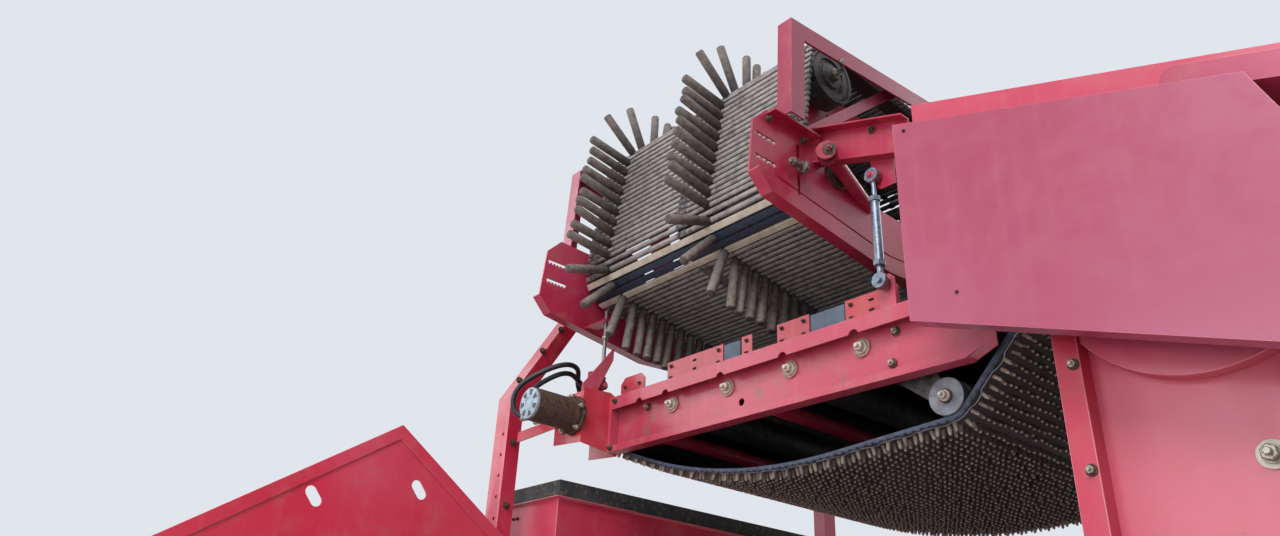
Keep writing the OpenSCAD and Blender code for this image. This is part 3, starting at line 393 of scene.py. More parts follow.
# Loops over rollers, clockwise, as in the part's source; a roller is (across, up, radius)
def normal_of(a, b):
    """Angle of the outward normal on the straight run from roller a to roller b."""
    far = math.hypot(b[0] - a[0], b[1] - a[1])
    lean = math.acos(max(-1.0, min(1.0, (a[2] - b[2]) / far)))
    return math.atan2(b[1] - a[1], b[0] - a[0]) + lean


def loop_stages(rollers):
    """Per roller: (roller, first normal, turn, length of the arc, length of the run after it)."""
    stages = []
    for i, here in enumerate(rollers):
        before, after = rollers[i - 1], rollers[(i + 1) % len(rollers)]
        first, last = normal_of(before, here), normal_of(here, after)
        turn = (first - last) % (2 * math.pi)
        far = math.hypot(after[0] - here[0], after[1] - here[1])
        run = math.sqrt(max(0.0, far ** 2 - (here[2] - after[2]) ** 2))
        stages.append((here, first, turn, here[2] * turn, run))
    return stages


def loop_length(stages):
    return sum(s[3] + s[4] for s in stages)


def loop_at(stages, distance, height):
    """(across, up, angle of the outward normal) at a distance along the loop."""
    for n, (roller, first, turn, arc, run) in enumerate(stages):
        if distance <= arc + run or n == len(stages) - 1:
            break
        distance -= arc + run
    angle = first - distance / roller[2] if distance < arc else first - turn
    past = max(0.0, distance - arc)
    out = roller[2] + height
    return (roller[0] + out * math.cos(angle) + past * math.sin(angle),
            roller[1] + out * math.sin(angle) - past * math.cos(angle), angle)


def closed_rings(name, rings, angle):
    """A closed piece whose rings of points follow one another, back to the first."""
    steps, wide = len(rings), len(rings[0])
    faces = []
    for i in range(steps):
        ahead = (i + 1) % steps
        for k in range(wide):
            other = (k + 1) % wide
            faces.append((i * wide + k, i * wide + other, ahead * wide + other, ahead * wide + k))
    mesh = bpy.data.meshes.new(name)
    mesh.from_pydata([point for ring in rings for point in ring], [], faces)
    piece = edit_all(placed(name, mesh))
    bpy.ops.mesh.normals_make_consistent(inside=False)
    finish_edit()
    return smooth(piece, angle)


def bent_band(stages, profile, steps):
    """A closed band round a loop in X and Z; profile lists (y, height above the rollers)."""
    rings = []
    for i in range(steps):
        x, z, angle = loop_at(stages, i * loop_length(stages) / steps, 0)
        rings.append([((x + h * math.cos(angle)) * MM, y * MM, (z + h * math.sin(angle)) * MM)
                      for y, h in profile])
    return closed_rings("band", rings, 40)


# Belt table: a loop over the drive, end and return rollers whose slack strand hangs in an arc
BELT_TOP = 1030
BELT_T = 8
DRIVE_R = 68
DRIVE = (-712, BELT_TOP - DRIVE_R)
END_R = 50
END_X = 812
RETURN = (632, 785)
SAG_R = 1900
SAG_LOW = (130, 703)
belt_loop = loop_stages([(*DRIVE, DRIVE_R), (END_X, BELT_TOP - END_R, END_R), (*RETURN, END_R),
                         (SAG_LOW[0], SAG_LOW[1] + SAG_R, SAG_R)])
PITCH = 25
PINTLE_N = int(loop_length(belt_loop) / PITCH)
# Finger web: its rollers as (y, z, radius), the ends of its rods and the near sides of its belts
WEB_ROLLERS = [(-547, 2032, 105), (300, 1965, 105), (440, 1430, 110), (-612, 1580, 110)]
web_loop = loop_stages(WEB_ROLLERS)
WEB_X = (-800, 300)
WEB_BELTS = (-780, -280, 220)
WEB_BELT_W = 60
WEB_BELT_T = 10
ROD_D = 16
ROD_N = 2 * int(loop_length(web_loop) / PITCH / 2)
# A rod's middle over the rollers, 0.05 mm off its belts
ROD_H = WEB_BELT_T + ROD_D / 2 + 0.05
# Infeed web: the upper roller, the web's length and its slope
INFEED = (690, 1250)
INFEED_R = 75
INFEED_LEN = 930
INFEED_PITCH = 45
SLOPE = math.radians(19)
infeed_low = (INFEED[0] + INFEED_LEN * math.cos(SLOPE), INFEED[1] - INFEED_LEN * math.sin(SLOPE))
infeed_loop = loop_stages([(*INFEED, INFEED_R), (*infeed_low, INFEED_R)])
INFEED_N = int(loop_length(infeed_loop) / INFEED_PITCH)
# Outer faces of the two arms, their noses' end and the height of their lower edge
ARM_FACES = (-820, 320)
ARM_NOSE = -1007
PLATE_Z = 1422


# CAD sheets and castings with their edges rounded; on the red sheets the edges are rubbed enamel with a
# painted highlight
def body_of(node):
    """The body that carries a CAD node."""
    for body, names in frame["record"]["behaviour"]["bodies"].items():
        if node in names:
            return body


def slot_of(node):
    """The material slot of a CAD node."""
    return next(p["material_slot"] for p in frame["record"]["subparts"] if p["node"] == node)


def dress(node, mat, edge_highlight_mat, width, other=None, cuts=()):
    """A merged copy of a CAD node with rounded edges, which stands for the node.
    other is (test, material) for faces in a second material; each cut is (test, point, normal)
    and takes off what lies beyond a plane on the faces that test picks."""
    mesh = frame["nodes"][node].data.copy()
    mesh.materials.clear()
    mesh.materials.append(mat)
    # A second, pale material on the rounded edges is a painted highlight
    if edge_highlight_mat:
        mesh.materials.append(edge_highlight_mat)
    twin = edit_all(placed(node + "_dressed", mesh))
    bpy.ops.mesh.remove_doubles(threshold=0.02 * MM)
    bpy.ops.mesh.dissolve_limited(angle_limit=math.radians(0.4))
    finish_edit()
    for test, point, normal in cuts:
        pick(twin, test)
        bpy.ops.mesh.bisect(plane_co=Vector(point) * MM, plane_no=normal, use_fill=True,
                            clear_outer=True)
        finish_edit()
    if other:
        twin.data.materials.append(other[1])
        second = other[0]
        for face in twin.data.polygons:
            if second(face.center):
                face.material_index = len(twin.data.materials) - 1
    round_edges(twin, width, edge_slot=1 if edge_highlight_mat else -1)
    settle(twin, node + "_dressed", body_of(node), None, slot_of(node), node)


# Tests for faces in a second material or before a cut; a face's centre is in metres
NOSE_SLOPE = (0, -0.06, 1.0)
NOSE_Z = PLATE_Z + 8
EDGE_TOP = 1.497
EDGE_BACK = -0.6


def on_right_edge(centre, normal):
    return centre.x > 0.34 and centre.z < EDGE_TOP and centre.y < EDGE_BACK


def on_left_edge(centre, normal):
    return centre.x < -0.84 and centre.z < EDGE_TOP and centre.y < EDGE_BACK


def on_ear(centre):
    return centre.x > 0.3225 and -0.8 < centre.y < -0.70 and 1.43 < centre.z < 1.64


def on_rail_lug(centre):
    return centre.y > -0.6855 or (centre.z < 1.09 and centre.y > -0.6875)


def dress_nodes(mats):
    # Each enamel's nodes and the width of their rounded edges
    enamels = {
        "red": (["base_rail_near", "base_rail_far", "base_cross", "side_beams"], 3.0),
        "post_red": (["post_near", "post_far", "end_posts", "crank_post", "pivot_posts"], 2.0),
        "shade_red": (["chute_box", "rail_cross_tubes", "arm_tubes"], 1.8),
        "wall_red": (["side_wall_near", "side_wall_far", "drum_cover"], 1.5),
        "rail_red": (["belt_rail_near", "belt_rail_far"], 2.0),
        "plate_red": (["edge_plates"], 1.2),
        "bracket_red": (["motor_bracket", "post_struts"], 1.8),
        "pink_red": (["screw_stand"], 1.0),
        "gable_red": (["gable_panel"], 2.0),
        "arm_red": (["outrigger"], 2.0),
        "guard_red": (["guard_frames"], 2.0),
        "cover_red": (["side_cover"], 1.4),
        "hinge_red": (["cover_hinge"], 1.0),
    }
    for key, (nodes, width) in enamels.items():
        for node in nodes:
            dress(node, mats[key], mats["edge_highlight_red"], width)
    # The arms' turned edges end low at the nose, clear of the slots
    dress("arm_right", mats["arm_red"], mats["edge_highlight_red"], 2.0, (on_ear, mats["ear_red"]),
          [(on_right_edge, (ARM_FACES[1] + 36, ARM_NOSE, NOSE_Z), NOSE_SLOPE)])
    dress("arm_left", mats["arm_red"], mats["edge_highlight_red"], 2.0, None,
          [(on_left_edge, (ARM_FACES[0] - 36, ARM_NOSE + 70, NOSE_Z), NOSE_SLOPE)])
    for node in ("support_rollers", "drive_roller", "end_roller", "infeed_rollers"):
        dress(node, mats["roller"], None, 3.0)
    dress("return_roller", mats["disc"], None, 3.0)
    dress("rail_hangers", mats["roller"], None, 1.5)
    dress("base_feet", mats["roller"], None, 2.0)
    dress("web_belts", mats["belt"], None, 1.5)
    dress("rubber_apron", mats["apron"], None, 2.0)
    dress("rubber_flaps", mats["flap"], None, 1.5)
    # The turnbuckle's foot is a lug of the rail and is painted with it
    dress("turnbuckle_tube", mats["galvanised"], None, 0.8, (on_rail_lug, mats["rail_red"]))
    dress("turnbuckle_rod", mats["galvanised"], None, 0.8)


# Hexagon bolts on their washers; faces on the near side look along -Y
NEAR = (0, -1, 0)
RIGHT = (1, 0, 0)
SPRING_T = 4


def seats(y, *spots):
    """Places of bolts, each (x, z), on a face that looks to the near side."""
    return [((x, y, z), NEAR) for x, z in spots]


def model_bolt(across, washer_d, washer_t, inner_d):
    """A washer and a bolt along +Z, heights from the seat; inner_d adds a second washer."""
    washer = round_bar(washer_d / 2, washer_t, (0, 0, washer_t / 2), sides=24)
    chamfer(washer, facing("z", 1), 0.5)
    seat = washer_t
    parts = []
    if inner_d:
        spring = round_bar(inner_d / 2, SPRING_T, (0, 0, seat + SPRING_T / 2), sides=20)
        chamfer(spring, facing("z", 1), 0.8)
        parts.append(spring)
        seat += SPRING_T
    head = across * 0.62
    bolt = round_bar(across / 2 / math.cos(math.pi / 6), head, (0, 0, seat + head / 2), sides=6)
    chamfer(bolt, facing("z", 1), across * 0.07)
    stud = round_bar(across * 0.28, across * 0.5, (0, 0, seat + head + across * 0.2), sides=12)
    chamfer(stud, facing("z", 1), across * 0.06)
    return washer, smooth(join([bolt, stud, *parts]), 30)


def set_bolts(name, body, spots, across, washer_d, bolt_mat, washer_mat, washer_t=3.0, inner_d=0):
    """Bolts on washers at the spots, each (place, direction), joined in two pieces."""
    washer, bolt = model_bolt(across, washer_d, washer_t, inner_d)
    heads = []
    rings = []
    for place, direction in spots:
        matrix = towards(place, direction, chance.uniform(0, 1.0))
        heads.append(copied(bolt, matrix))
        rings.append(copied(washer, matrix))
    drop(bolt, washer)
    settle(join(heads), name + "_heads", body, bolt_mat, "zinc_steel")
    settle(join(rings), name + "_washers", body, washer_mat, "zinc_steel")


# Rubber belt with rows of pintles, each row shifted half a pitch
PINTLE_PITCH = 26.0
PINTLES_ACROSS = 46
PINTLE_H = 24
PINTLE_R = 5.8
TIP_H = 5
# Half widths of the carcass and, past it, of the cord along each edge
CARCASS_HALF = 612
CORD_HALF = 623
BAND_STEPS = 420
# Middle of the lugs, which reach 1 mm past the cord, and their foot, 1 mm in its top
LUG_Y = 619.5
LUG_FOOT = 10
# The edge wire's radius, the length of one wave and the steps along it
WIRE_R = 1.5
WAVE = 104
WAVE_STEPS = 12


def model_pintle():
    """A pintle along +Z on six sides, tapered, with a domed tip."""
    pin = round_bar(PINTLE_R, PINTLE_H - TIP_H, (0, 0, (PINTLE_H - TIP_H) / 2), sides=6)
    pick(pin, facing("z", 1))
    bpy.ops.transform.resize(value=(0.86, 0.86, 1.0))
    push(0, 0, TIP_H)
    bpy.ops.transform.resize(value=(0.62, 0.62, 1.0))
    finish_edit()
    pick(pin, facing("z", -1))
    bpy.ops.mesh.delete(type="FACE")
    finish_edit()
    return smooth(pin, 60)


def model_pintle_row(pin, shift):
    """One row of pintles, each bent a little its own way, with the edge ones painted pale as a painted
    highlight.
    """
    pins = []
    for k in range(PINTLES_ACROSS):
        y = (k - (PINTLES_ACROSS - 1) / 2) * PINTLE_PITCH + shift
        lean = Matrix.Rotation(chance.gauss(0, 0.07), 4, "X")
        lean = lean @ Matrix.Rotation(chance.gauss(0, 0.1), 4, "Y")
        twin = copied(pin, Matrix.Translation((0, y * MM, 0)) @ lean)
        # The outer pins are painted pale all over, a painted highlight; above 20 mm every tip is pale,
        # partly wear and partly a painted highlight
        outer_pin_highlight = {0: 1.0, 1: 0.5}.get(min(k, PINTLES_ACROSS - 1 - k), 0.06)
        pins.append(mark_wear_and_light(twin, lambda p: 1.0 if p.z > 20 * MM else outer_pin_highlight))
    return join(pins)


def belt_frame(distance, height):
    """The matrix that stands a piece made along +Z on the belt, at a distance along it."""
    x, z, angle = loop_at(belt_loop, distance, height)
    return Matrix.Translation((x * MM, 0, z * MM)) @ Matrix.Rotation(math.pi / 2 - angle, 4, "Y")


def make_pintle_belt(mats):
    length = loop_length(belt_loop)
    pin = model_pintle()
    even = [model_pintle_row(pin, -PINTLE_PITCH / 4) for _ in range(5)]
    odd = [model_pintle_row(pin, PINTLE_PITCH / 4) for _ in range(5)]
    rows = []
    for i in range(PINTLE_N):
        row = chance.choice(even if i % 2 else odd)
        rows.append(copied(row, belt_frame((i + 0.5) * length / PINTLE_N, BELT_T)))
    drop(pin, *even, *odd)
    half = len(rows) // 2
    settle(join(rows[:half]), "pintles_top", "frame", mats["pintle"], "belt_rubber", "pintle_belt")
    settle(join(rows[half:]), "pintles_slack", "frame", mats["pintle"], "belt_rubber", "pintle_belt")
    # The carcass is a strip bent round the loop; a cord closes each edge
    carcass = bent_band(belt_loop, [(-CARCASS_HALF, 0.4), (-CARCASS_HALF, BELT_T),
                                    (CARCASS_HALF, BELT_T), (CARCASS_HALF, 0.4)], BAND_STEPS)
    settle(carcass, "belt_carcass", "frame", mats["belt"], "belt_rubber", "pintle_belt")
    outline = [(CARCASS_HALF, 0.4), (CARCASS_HALF, 9), (CARCASS_HALF + 3, 11), (CORD_HALF - 3, 11),
               (CORD_HALF, 9), (CORD_HALF, 0.4)]
    cords = [bent_band(belt_loop, [(s * y, h) for y, h in outline], BAND_STEPS) for s in (-1, 1)]
    settle(join(cords), "belt_edge_cords", "frame", mats["rope"], "belt_rubber")
    # Lugs stand on each cord, and a wire waves from under one to under the next
    lug = box_block((-7, 7), (-4.5, 4.5), (0, 4))
    chamfer(lug, facing("z", 1), 1.6)
    lugs = []
    for i in range(PINTLE_N):
        here = belt_frame(i * length / PINTLE_N, LUG_FOOT)
        for side in (-1, 1):
            lugs.append(copied(lug, here @ Matrix.Translation((0, side * LUG_Y * MM, 0))))
    drop(lug)
    settle(join(lugs), "belt_edge_lugs", "frame", mats["rope"], "belt_rubber")
    settle(join([wave_wire(side) for side in (-1, 1)]), "belt_edge_wires", "frame", mats["wire"],
           "zinc_steel")


def wave_wire(side):
    """A wire laid in waves along one edge of the belt, on its face."""
    length = loop_length(belt_loop)
    steps = int(length / WAVE) * WAVE_STEPS
    section = [(WIRE_R * math.cos(a), WIRE_R * math.sin(a)) for a in (0.4, 1.97, 3.54, 5.11)]
    rings = []
    for i in range(steps):
        x, z, angle = loop_at(belt_loop, i * length / steps, 0)
        swing = max(0.0, math.sin(2 * math.pi * i / WAVE_STEPS)) ** 0.7
        rings.append([])
        for across, high in section:
            h = BELT_T + 2 + high + (1 - swing) * 2
            rings[-1].append(((x + h * math.cos(angle)) * MM,
                              side * (CARCASS_HALF - 2 - 15 * swing + across) * MM,
                              (z + h * math.sin(angle)) * MM))
    return closed_rings("wire", rings, 60)


# Finger web: steel rods on belts, every second one with two rubber fingers
def rod_frame(i):
    """The matrix that puts a piece made along X at the place of rod i."""
    y, z, angle = loop_at(web_loop, i * loop_length(web_loop) / ROD_N, ROD_H)
    return Matrix.Translation((0, y * MM, z * MM)) @ Matrix.Rotation(angle - math.pi / 2, 4, "X")


# Rods at the lower front corner: two are pale slats, with dark strips between and beside them that are
# painted shade of the gaps there
SLATS = (118, 121)
SHADE_STRIPS = (119, 120)
SLAT_HALF = 12.0
SHADE_STRIP_HALF = 12.3
ROD_LEN = 1098
# The rods are drawn this much wider along the web, so that they look as tight as the real ones
ROD_SPREAD = 1.35


def lay(piece, name, rods, mat, slot):
    """Puts a copy of a piece at the place of each of the rods, and drops the piece."""
    settle(join([copied(piece, rod_frame(i)) for i in rods]), name, "finger_web", mat, slot, "web_rods")
    drop(piece)


def make_rods(mats):
    middle = (WEB_X[0] + WEB_X[1]) / 2
    rod = round_bar(ROD_D / 2, ROD_LEN, (middle, 0, 0), (1, 0, 0), sides=12)
    pick(rod, facing("x"))
    bevel_picked(2)
    bpy.ops.mesh.select_all(action="SELECT")
    bpy.ops.transform.resize(value=(1.0, ROD_SPREAD, 1.0))
    finish_edit()
    # Paler towards the rod's outer side: a painted highlight on its crown
    mark_wear_and_light(rod, lambda p: max(0.0, p.z / (ROD_D / 2 * MM)))
    smooth(rod, 50)
    plain = [i for i in range(ROD_N) if i not in SLATS + SHADE_STRIPS]
    lay(rod, "rods", plain, mats["rod"], "worn_rod")
    # Blue-black strips on the rods between the slats: painted shade of the gaps there
    sleeve = box_block((WEB_X[0] + 1, WEB_X[1] - 1), (-SHADE_STRIP_HALF, SHADE_STRIP_HALF), (-6, ROD_D / 2 - 2))
    round_edges(sleeve, 4.0)
    lay(sleeve, "rod_gap_shade_strips", SHADE_STRIPS, mats["sleeve"], "belt_rubber")
    slat = box_block((WEB_X[0] + 1, WEB_X[1] - 1), (-SLAT_HALF, SLAT_HALF), (-5, ROD_D / 2))
    round_edges(slat, 2.0)
    lay(slat, "slats", SLATS, mats["slat"], "worn_rod")
    # Forged flats with two rivets hold each rod on each belt
    flat = box_block((-24, 24), (-9.5, 9.5), (ROD_D / 2 - 4, ROD_D / 2 + 1))
    round_edges(flat, 1.5, 1)
    rivets = [round_bar(5, 3.5, (dx, 0, ROD_D / 2 + 2.5), sides=8) for dx in (-14, 14)]
    for rivet in rivets:
        chamfer(rivet, facing("z", 1), 1.2)
    flat = smooth(join([flat, *rivets]), 40)
    flats = [copied(flat, rod_frame(i) @ Matrix.Translation(((x + WEB_BELT_W / 2) * MM, 0, 0)))
             for i in plain for x in WEB_BELTS]
    drop(flat)
    settle(join(flats), "rod_flats", "finger_web", mats["rod"], "worn_rod")


FINGER_R = 16.6
FINGER_LEN = 178
FINGER_ROWS = (("left", -660), ("right", -120))


def model_finger():
    """A finger along +Z: a straight round bar with a rim at its tip, waisted only at its foot."""
    finger = round_bar(FINGER_R, FINGER_LEN, (0, 0, 108), sides=16)
    pick(finger, facing("z", 1))
    push(0, 0, 5)
    bpy.ops.transform.resize(value=(0.9, 0.9, 1.0))
    push(0, 0, 2)
    bpy.ops.transform.resize(value=(0.78, 0.78, 1.0))
    finish_edit()
    pick(finger, facing("z", -1))
    push(0, 0, -6)
    bpy.ops.transform.resize(value=(0.8, 0.8, 1.0))
    push(0, 0, -14)
    finish_edit()
    # Darker towards the foot and paler from the middle up, partly dust and partly painted light; the rim
    # at the tip stays nearly dark
    mark_wear_and_light(finger, lambda p: min(1.0, max(0.0, (p.z - 0.03) / 0.09)) if p.z < 0.2 else 0.15)
    return smooth(finger, 50)


def make_fingers(mats):
    finger = model_finger()
    foot = box_block((-13, 13), (-12, 12), (-12, 28))
    round_edges(foot, 5.0)
    for row, x in FINGER_ROWS:
        fingers, feet = [], []
        for i in range(0, ROD_N, 2):
            here = rod_frame(i) @ Matrix.Translation((x * MM, 0, 0))
            lean = Matrix.Rotation(chance.uniform(-0.05, 0.05), 4, "X")
            lean = lean @ Matrix.Rotation(chance.uniform(-0.04, 0.04), 4, "Y")
            worn = Matrix.Scale(chance.uniform(0.94, 1.0), 4, (0, 0, 1))
            fingers.append(copied(finger, here @ lean @ worn))
            feet.append(copied(foot, here))
        settle(join(fingers), "fingers_" + row, "finger_web", mats["finger"], "finger_rubber",
               "finger_row_" + row)
        settle(join(feet), "finger_feet_" + row, "finger_web", mats["clamp"], "finger_rubber")
    drop(finger, foot)


def model_wheel(x0, x1, y, z, radius):
    """A flanged wheel with a stepped web and hub on both faces."""
    wheel = round_bar(radius - 0.3, x1 - x0, ((x0 + x1) / 2, y, z), (1, 0, 0), sides=40)
    for side in (-1, 1):
        pick(wheel, facing("x", side))
        inset(9)
        push(-side * 8, 0, 0)
        inset(4)
        push(side * 4, 0, 0)
        inset(radius * 0.22)
        push(-side * 9, 0, 0)
        inset(radius * 0.2)
        push(side * 12, 0, 0)
        finish_edit()
    return wheel


# Shafts above this height end with the rods, the ones below it run from arm to arm
UPPER_Z = 1800
SHAFT_R = 24.9
ARM_T = 6


def make_web_rollers(mats):
    wheels, shafts = [], []
    for y, z, radius in WEB_ROLLERS:
        wheels += [model_wheel(x - 5, x + WEB_BELT_W + 5, y, z, radius) for x in WEB_BELTS]
        ends = WEB_X if z > UPPER_Z else (ARM_FACES[0] + ARM_T, ARM_FACES[1] - ARM_T)
        shaft = round_bar(SHAFT_R, ends[1] - ends[0], ((ends[0] + ends[1]) / 2, y, z), RIGHT, sides=32)
        shafts.append(chamfer(shaft, facing("x"), 2))
    settle(round_edges(join(wheels), 1.2, 1), "web_wheels", "finger_web", mats["roller"], "dark_steel",
           "web_rollers")
    settle(smooth(join(shafts)), "web_shafts", "finger_web", mats["roller"], "dark_steel", "web_rollers")
    # Bright shaft ends inside, flanged bearings on the arms' outer faces
    top_ends = [((x, y, z), (side, 0, 0)) for y, z, _ in WEB_ROLLERS[:2]
                for x, side in ((WEB_X[0], -1), (WEB_X[1], 1))]
    set_bolts("shaft_end", "finger_web", top_ends, 22, 40, mats["zinc"], mats["zinc"], 1.5)
    cups = []
    low_ends = []
    for y, z, _ in WEB_ROLLERS[2:]:
        for x, side in ((ARM_FACES[0], -1), (ARM_FACES[1], 1)):
            cup = round_bar(45, 8, (x + side * 4, y, z), (side, 0, 0), sides=32)
            pick(cup, facing("x", side))
            inset(12)
            push(side * 4, 0, 0)
            inset(3)
            push(-side * 2, 0, 0)
            finish_edit()
            cups.append(cup)
            low_ends.append(((x + side * 10, y, z), (side, 0, 0)))
    settle(round_edges(join(cups), 1.0), "arm_bearings", "finger_web", mats["rusty"], "dark_steel")
    set_bolts("bearing", "finger_web", low_ends, 19, 30, mats["zinc"], mats["rusty"], 2.0)


# Infeed web: rods on three belts over two rollers
INFEED_HALF = 600


def make_infeed(mats):
    rod = round_bar(ROD_D / 2, 2 * INFEED_HALF, (0, 0, 0), (0, 1, 0), sides=10)
    chamfer(rod, facing("y"), 2)
    smooth(rod, 50)
    rods = []
    for i in range(INFEED_N):
        x, z, _ = loop_at(infeed_loop, i * loop_length(infeed_loop) / INFEED_N, ROD_H)
        rods.append(copied(rod, Matrix.Translation((x * MM, 0, z * MM))))
    drop(rod)
    settle(join(rods), "infeed_rods", "frame", mats["rod"], "worn_rod", "infeed_web")
    bands = []
    for y in (20 - INFEED_HALF, -WEB_BELT_W / 2, INFEED_HALF - 20 - WEB_BELT_W):
        bands.append(bent_band(infeed_loop, [(y, 0.2), (y, WEB_BELT_T), (y + WEB_BELT_W, WEB_BELT_T),
                                             (y + WEB_BELT_W, 0.2)], 160))
    settle(join(bands), "infeed_belts", "frame", mats["belt"], "belt_rubber", "infeed_web")


# Motor of the belt: a cast body with a slotted end cap on a bolted flange
MOTOR_R = 57
MOTOR_LEN = 176
MOTOR_Y = -902
CAP_R = 54
CAP_Y = -994
FLANGE_R = 73
FLANGE_T = 14
FLANGE_FACE = -814
PORTS_Y = (-950, -895)
PORT_DROP = 22
POCKETS = 7


def make_motor(mats):
    x, z = DRIVE
    body = round_bar(MOTOR_R, MOTOR_LEN, (x, MOTOR_Y, z), NEAR, sides=48)
    chamfer(body, facing("y", -1), 4, 3)
    # The end at the flange keeps a flat rim, and a thicker ring is cast round it
    pick(body, facing("y", 1))
    inset(0.5)
    finish_edit()
    collar = round_bar(MOTOR_R + 2, 16, (x, -826, z), NEAR, sides=48)
    chamfer(collar, facing("y", -1), 3, 2)
    settle(smooth(join([body, collar]), 40), "motor_body", "frame", mats["rusty"], "dark_steel",
           "belt_motor")
    cap = round_bar(CAP_R, 10, (x, CAP_Y, z), NEAR, sides=48)
    chamfer(cap, facing("y", -1), 1.5, 2)
    pick(cap, lambda c, n: n.y < -0.99)
    inset(30)
    push(0, -1, 0)
    inset(2)
    push(0, 1.5, 0)
    finish_edit()
    settle(smooth(cap, 35), "motor_cap", "frame", mats["cap"], "dark_steel")
    # Cast pockets round the cap, drawn as thin black patches that are painted shade in their hollows
    pocket = box_block((-12, 12), (-2.0, 2.0), (27, 49))
    pick(pocket, facing("z", -1))
    bpy.ops.transform.resize(value=(0.55, 1.0, 1.0))
    finish_edit()
    round_edges(pocket, 2.5, 3)
    pockets = [copied(pocket, Matrix.Translation((x * MM, -0.9975, z * MM))
                      @ Matrix.Rotation(2 * math.pi * i / POCKETS + 0.2, 4, "Y"))
               for i in range(POCKETS)]
    drop(pocket)
    settle(join(pockets), "motor_cap_pocket_shade", "frame", mats["hose"], "dark_steel")
    flange = round_bar(FLANGE_R, FLANGE_T, (x, FLANGE_FACE + FLANGE_T / 2, z), NEAR, sides=8)
    chamfer(flange, lambda c, n: abs(n.y) < 0.1, 12, 4)
    round_edges(flange, 1.5)
    settle(flange, "motor_flange", "frame", mats["rusty"], "dark_steel")
    around = [(x - 62, z + 20), (x + 62, z + 20), (x - 40, z - 52), (x + 40, z - 52), (x, z + 66)]
    set_bolts("motor_flange", "frame", seats(FLANGE_FACE, *around), 17, 22, mats["zinc"], mats["rusty"])
    # Shaft, ports and their fittings
    shaft = round_bar(16, 164, (x, -717, z), (0, 1, 0), sides=24)
    chamfer(shaft, facing("y", 1), 1)
    ports, nuts = [], []
    for y in PORTS_Y:
        port = round_bar(13, 40, (x - 52, y, z - PORT_DROP), RIGHT, sides=24)
        ports.append(chamfer(port, facing("x", -1), 1.5))
        nut = round_bar(15, 16, (x - 68, y, z - PORT_DROP), RIGHT, sides=6)
        nuts.append(chamfer(nut, facing("x"), 1.2))
        # The hose's sleeve leans as the hose leaves the port
        sleeve = round_bar(12.2, 30, (x - 92, y - 0.3, z - 21.7), (1, 0.03, -0.03), sides=24)
        nuts.append(chamfer(sleeve, facing("x"), 1.5))
    settle(smooth(join([shaft, *ports])), "motor_ports", "frame", mats["roller"], "dark_steel")
    settle(smooth(join(nuts), 30), "hose_fittings", "frame", mats["zinc"], "zinc_steel")


def make_hoses(mats):
    """The CAD's hoses, merged and made round."""
    twin = edit_all(placed("hoses", frame["nodes"]["motor_hoses"].data.copy()))
    bpy.ops.mesh.remove_doubles(threshold=0.05 * MM)
    flat_enough = math.radians(60)
    bpy.ops.mesh.tris_convert_to_quads(face_threshold=flat_enough, shape_threshold=flat_enough)
    finish_edit()
    swell = twin.modifiers.new("round", "SUBSURF")
    swell.levels = 1
    swell.render_levels = 1
    bpy.ops.object.modifier_apply(modifier="round")
    smooth(twin, 60)
    settle(twin, "hoses", "frame", mats["hose"], "hose_rubber", "motor_hoses")


# Threaded screw with its nuts, and the turnbuckle's ball housings
SCREW_Y = -692
TURNBUCKLE = (520, -704)
TENSION_BOLT = (347, 1516)


def make_screws(mats):
    x, y = DRIVE[0], SCREW_Y
    screw = round_bar(7.2, 276, (x, y, 1260), sides=20)
    chamfer(screw, facing("z", 1), 1.5)
    settle(smooth(screw), "lift_screw", "frame", mats["thread"], "zinc_steel")
    nuts = []
    for z, size in ((1128, 14), (1150, 12), (1290, 13)):
        nut = round_bar(size, 12, (x, y, z), sides=6)
        nuts.append(chamfer(nut, facing("z"), 1.2))
    settle(smooth(join(nuts), 30), "lift_screw_nuts", "frame", mats["zinc"], "zinc_steel")
    eye = round_bar(18, 28, (x - 1, y, 1101), (1, 0, 0), sides=28)
    pick(eye, facing("x"))
    inset(5)
    bevel_picked(1)
    finish_edit()
    settle(smooth(eye, 30), "lift_screw_eye", "frame", mats["old_red"], "red_paint")
    for name, body, z in (("low", "frame", 1116), ("top", "turnbuckle_eye", 1451)):
        deselect()
        bpy.ops.mesh.primitive_torus_add(major_radius=19.5 * MM, minor_radius=4.2 * MM,
                                         major_segments=36, minor_segments=10)
        ring = edit_all(bpy.context.object)
        bpy.ops.transform.resize(value=(1.0, 1.0, 2.6))
        finish_edit()
        ring.data.transform(towards((*TURNBUCKLE, z), (0, 1, 0)))
        settle(smooth(ring, 50), "ball_housing_" + name, body, mats["old_red"], "zinc_steel")
    # The tension bolt that lies before the slotted plate, with its large nut against the ear
    x, z = TENSION_BOLT
    bolt = round_bar(9, 74, (x, -822, z), (0, 1, 0), sides=20)
    chamfer(bolt, facing("y", -1), 1.5)
    nut = round_bar(21, 18, (x, -797, z), (0, 1, 0), sides=6)
    chamfer(nut, facing("y"), 2.5)
    sleeve = round_bar(14, 26, (x, -838, z), (0, 1, 0), sides=6)
    chamfer(sleeve, facing("y"), 2)
    settle(smooth(join([bolt, nut, sleeve]), 30), "tension_bolt", "finger_web", mats["old_steel"],
           "zinc_steel")


# Bolts of the rails, plates, posts and walls, on the outer faces that carry them
RAIL_FACE = -640
PLATE_FACE = -647
WALL_FACE = -680
POST_FACE = -730
BOX_FACE = -800
COVER_FACE = -860
CRANK_FACE = -940
PLATE_ROWS = (1066, 1108)


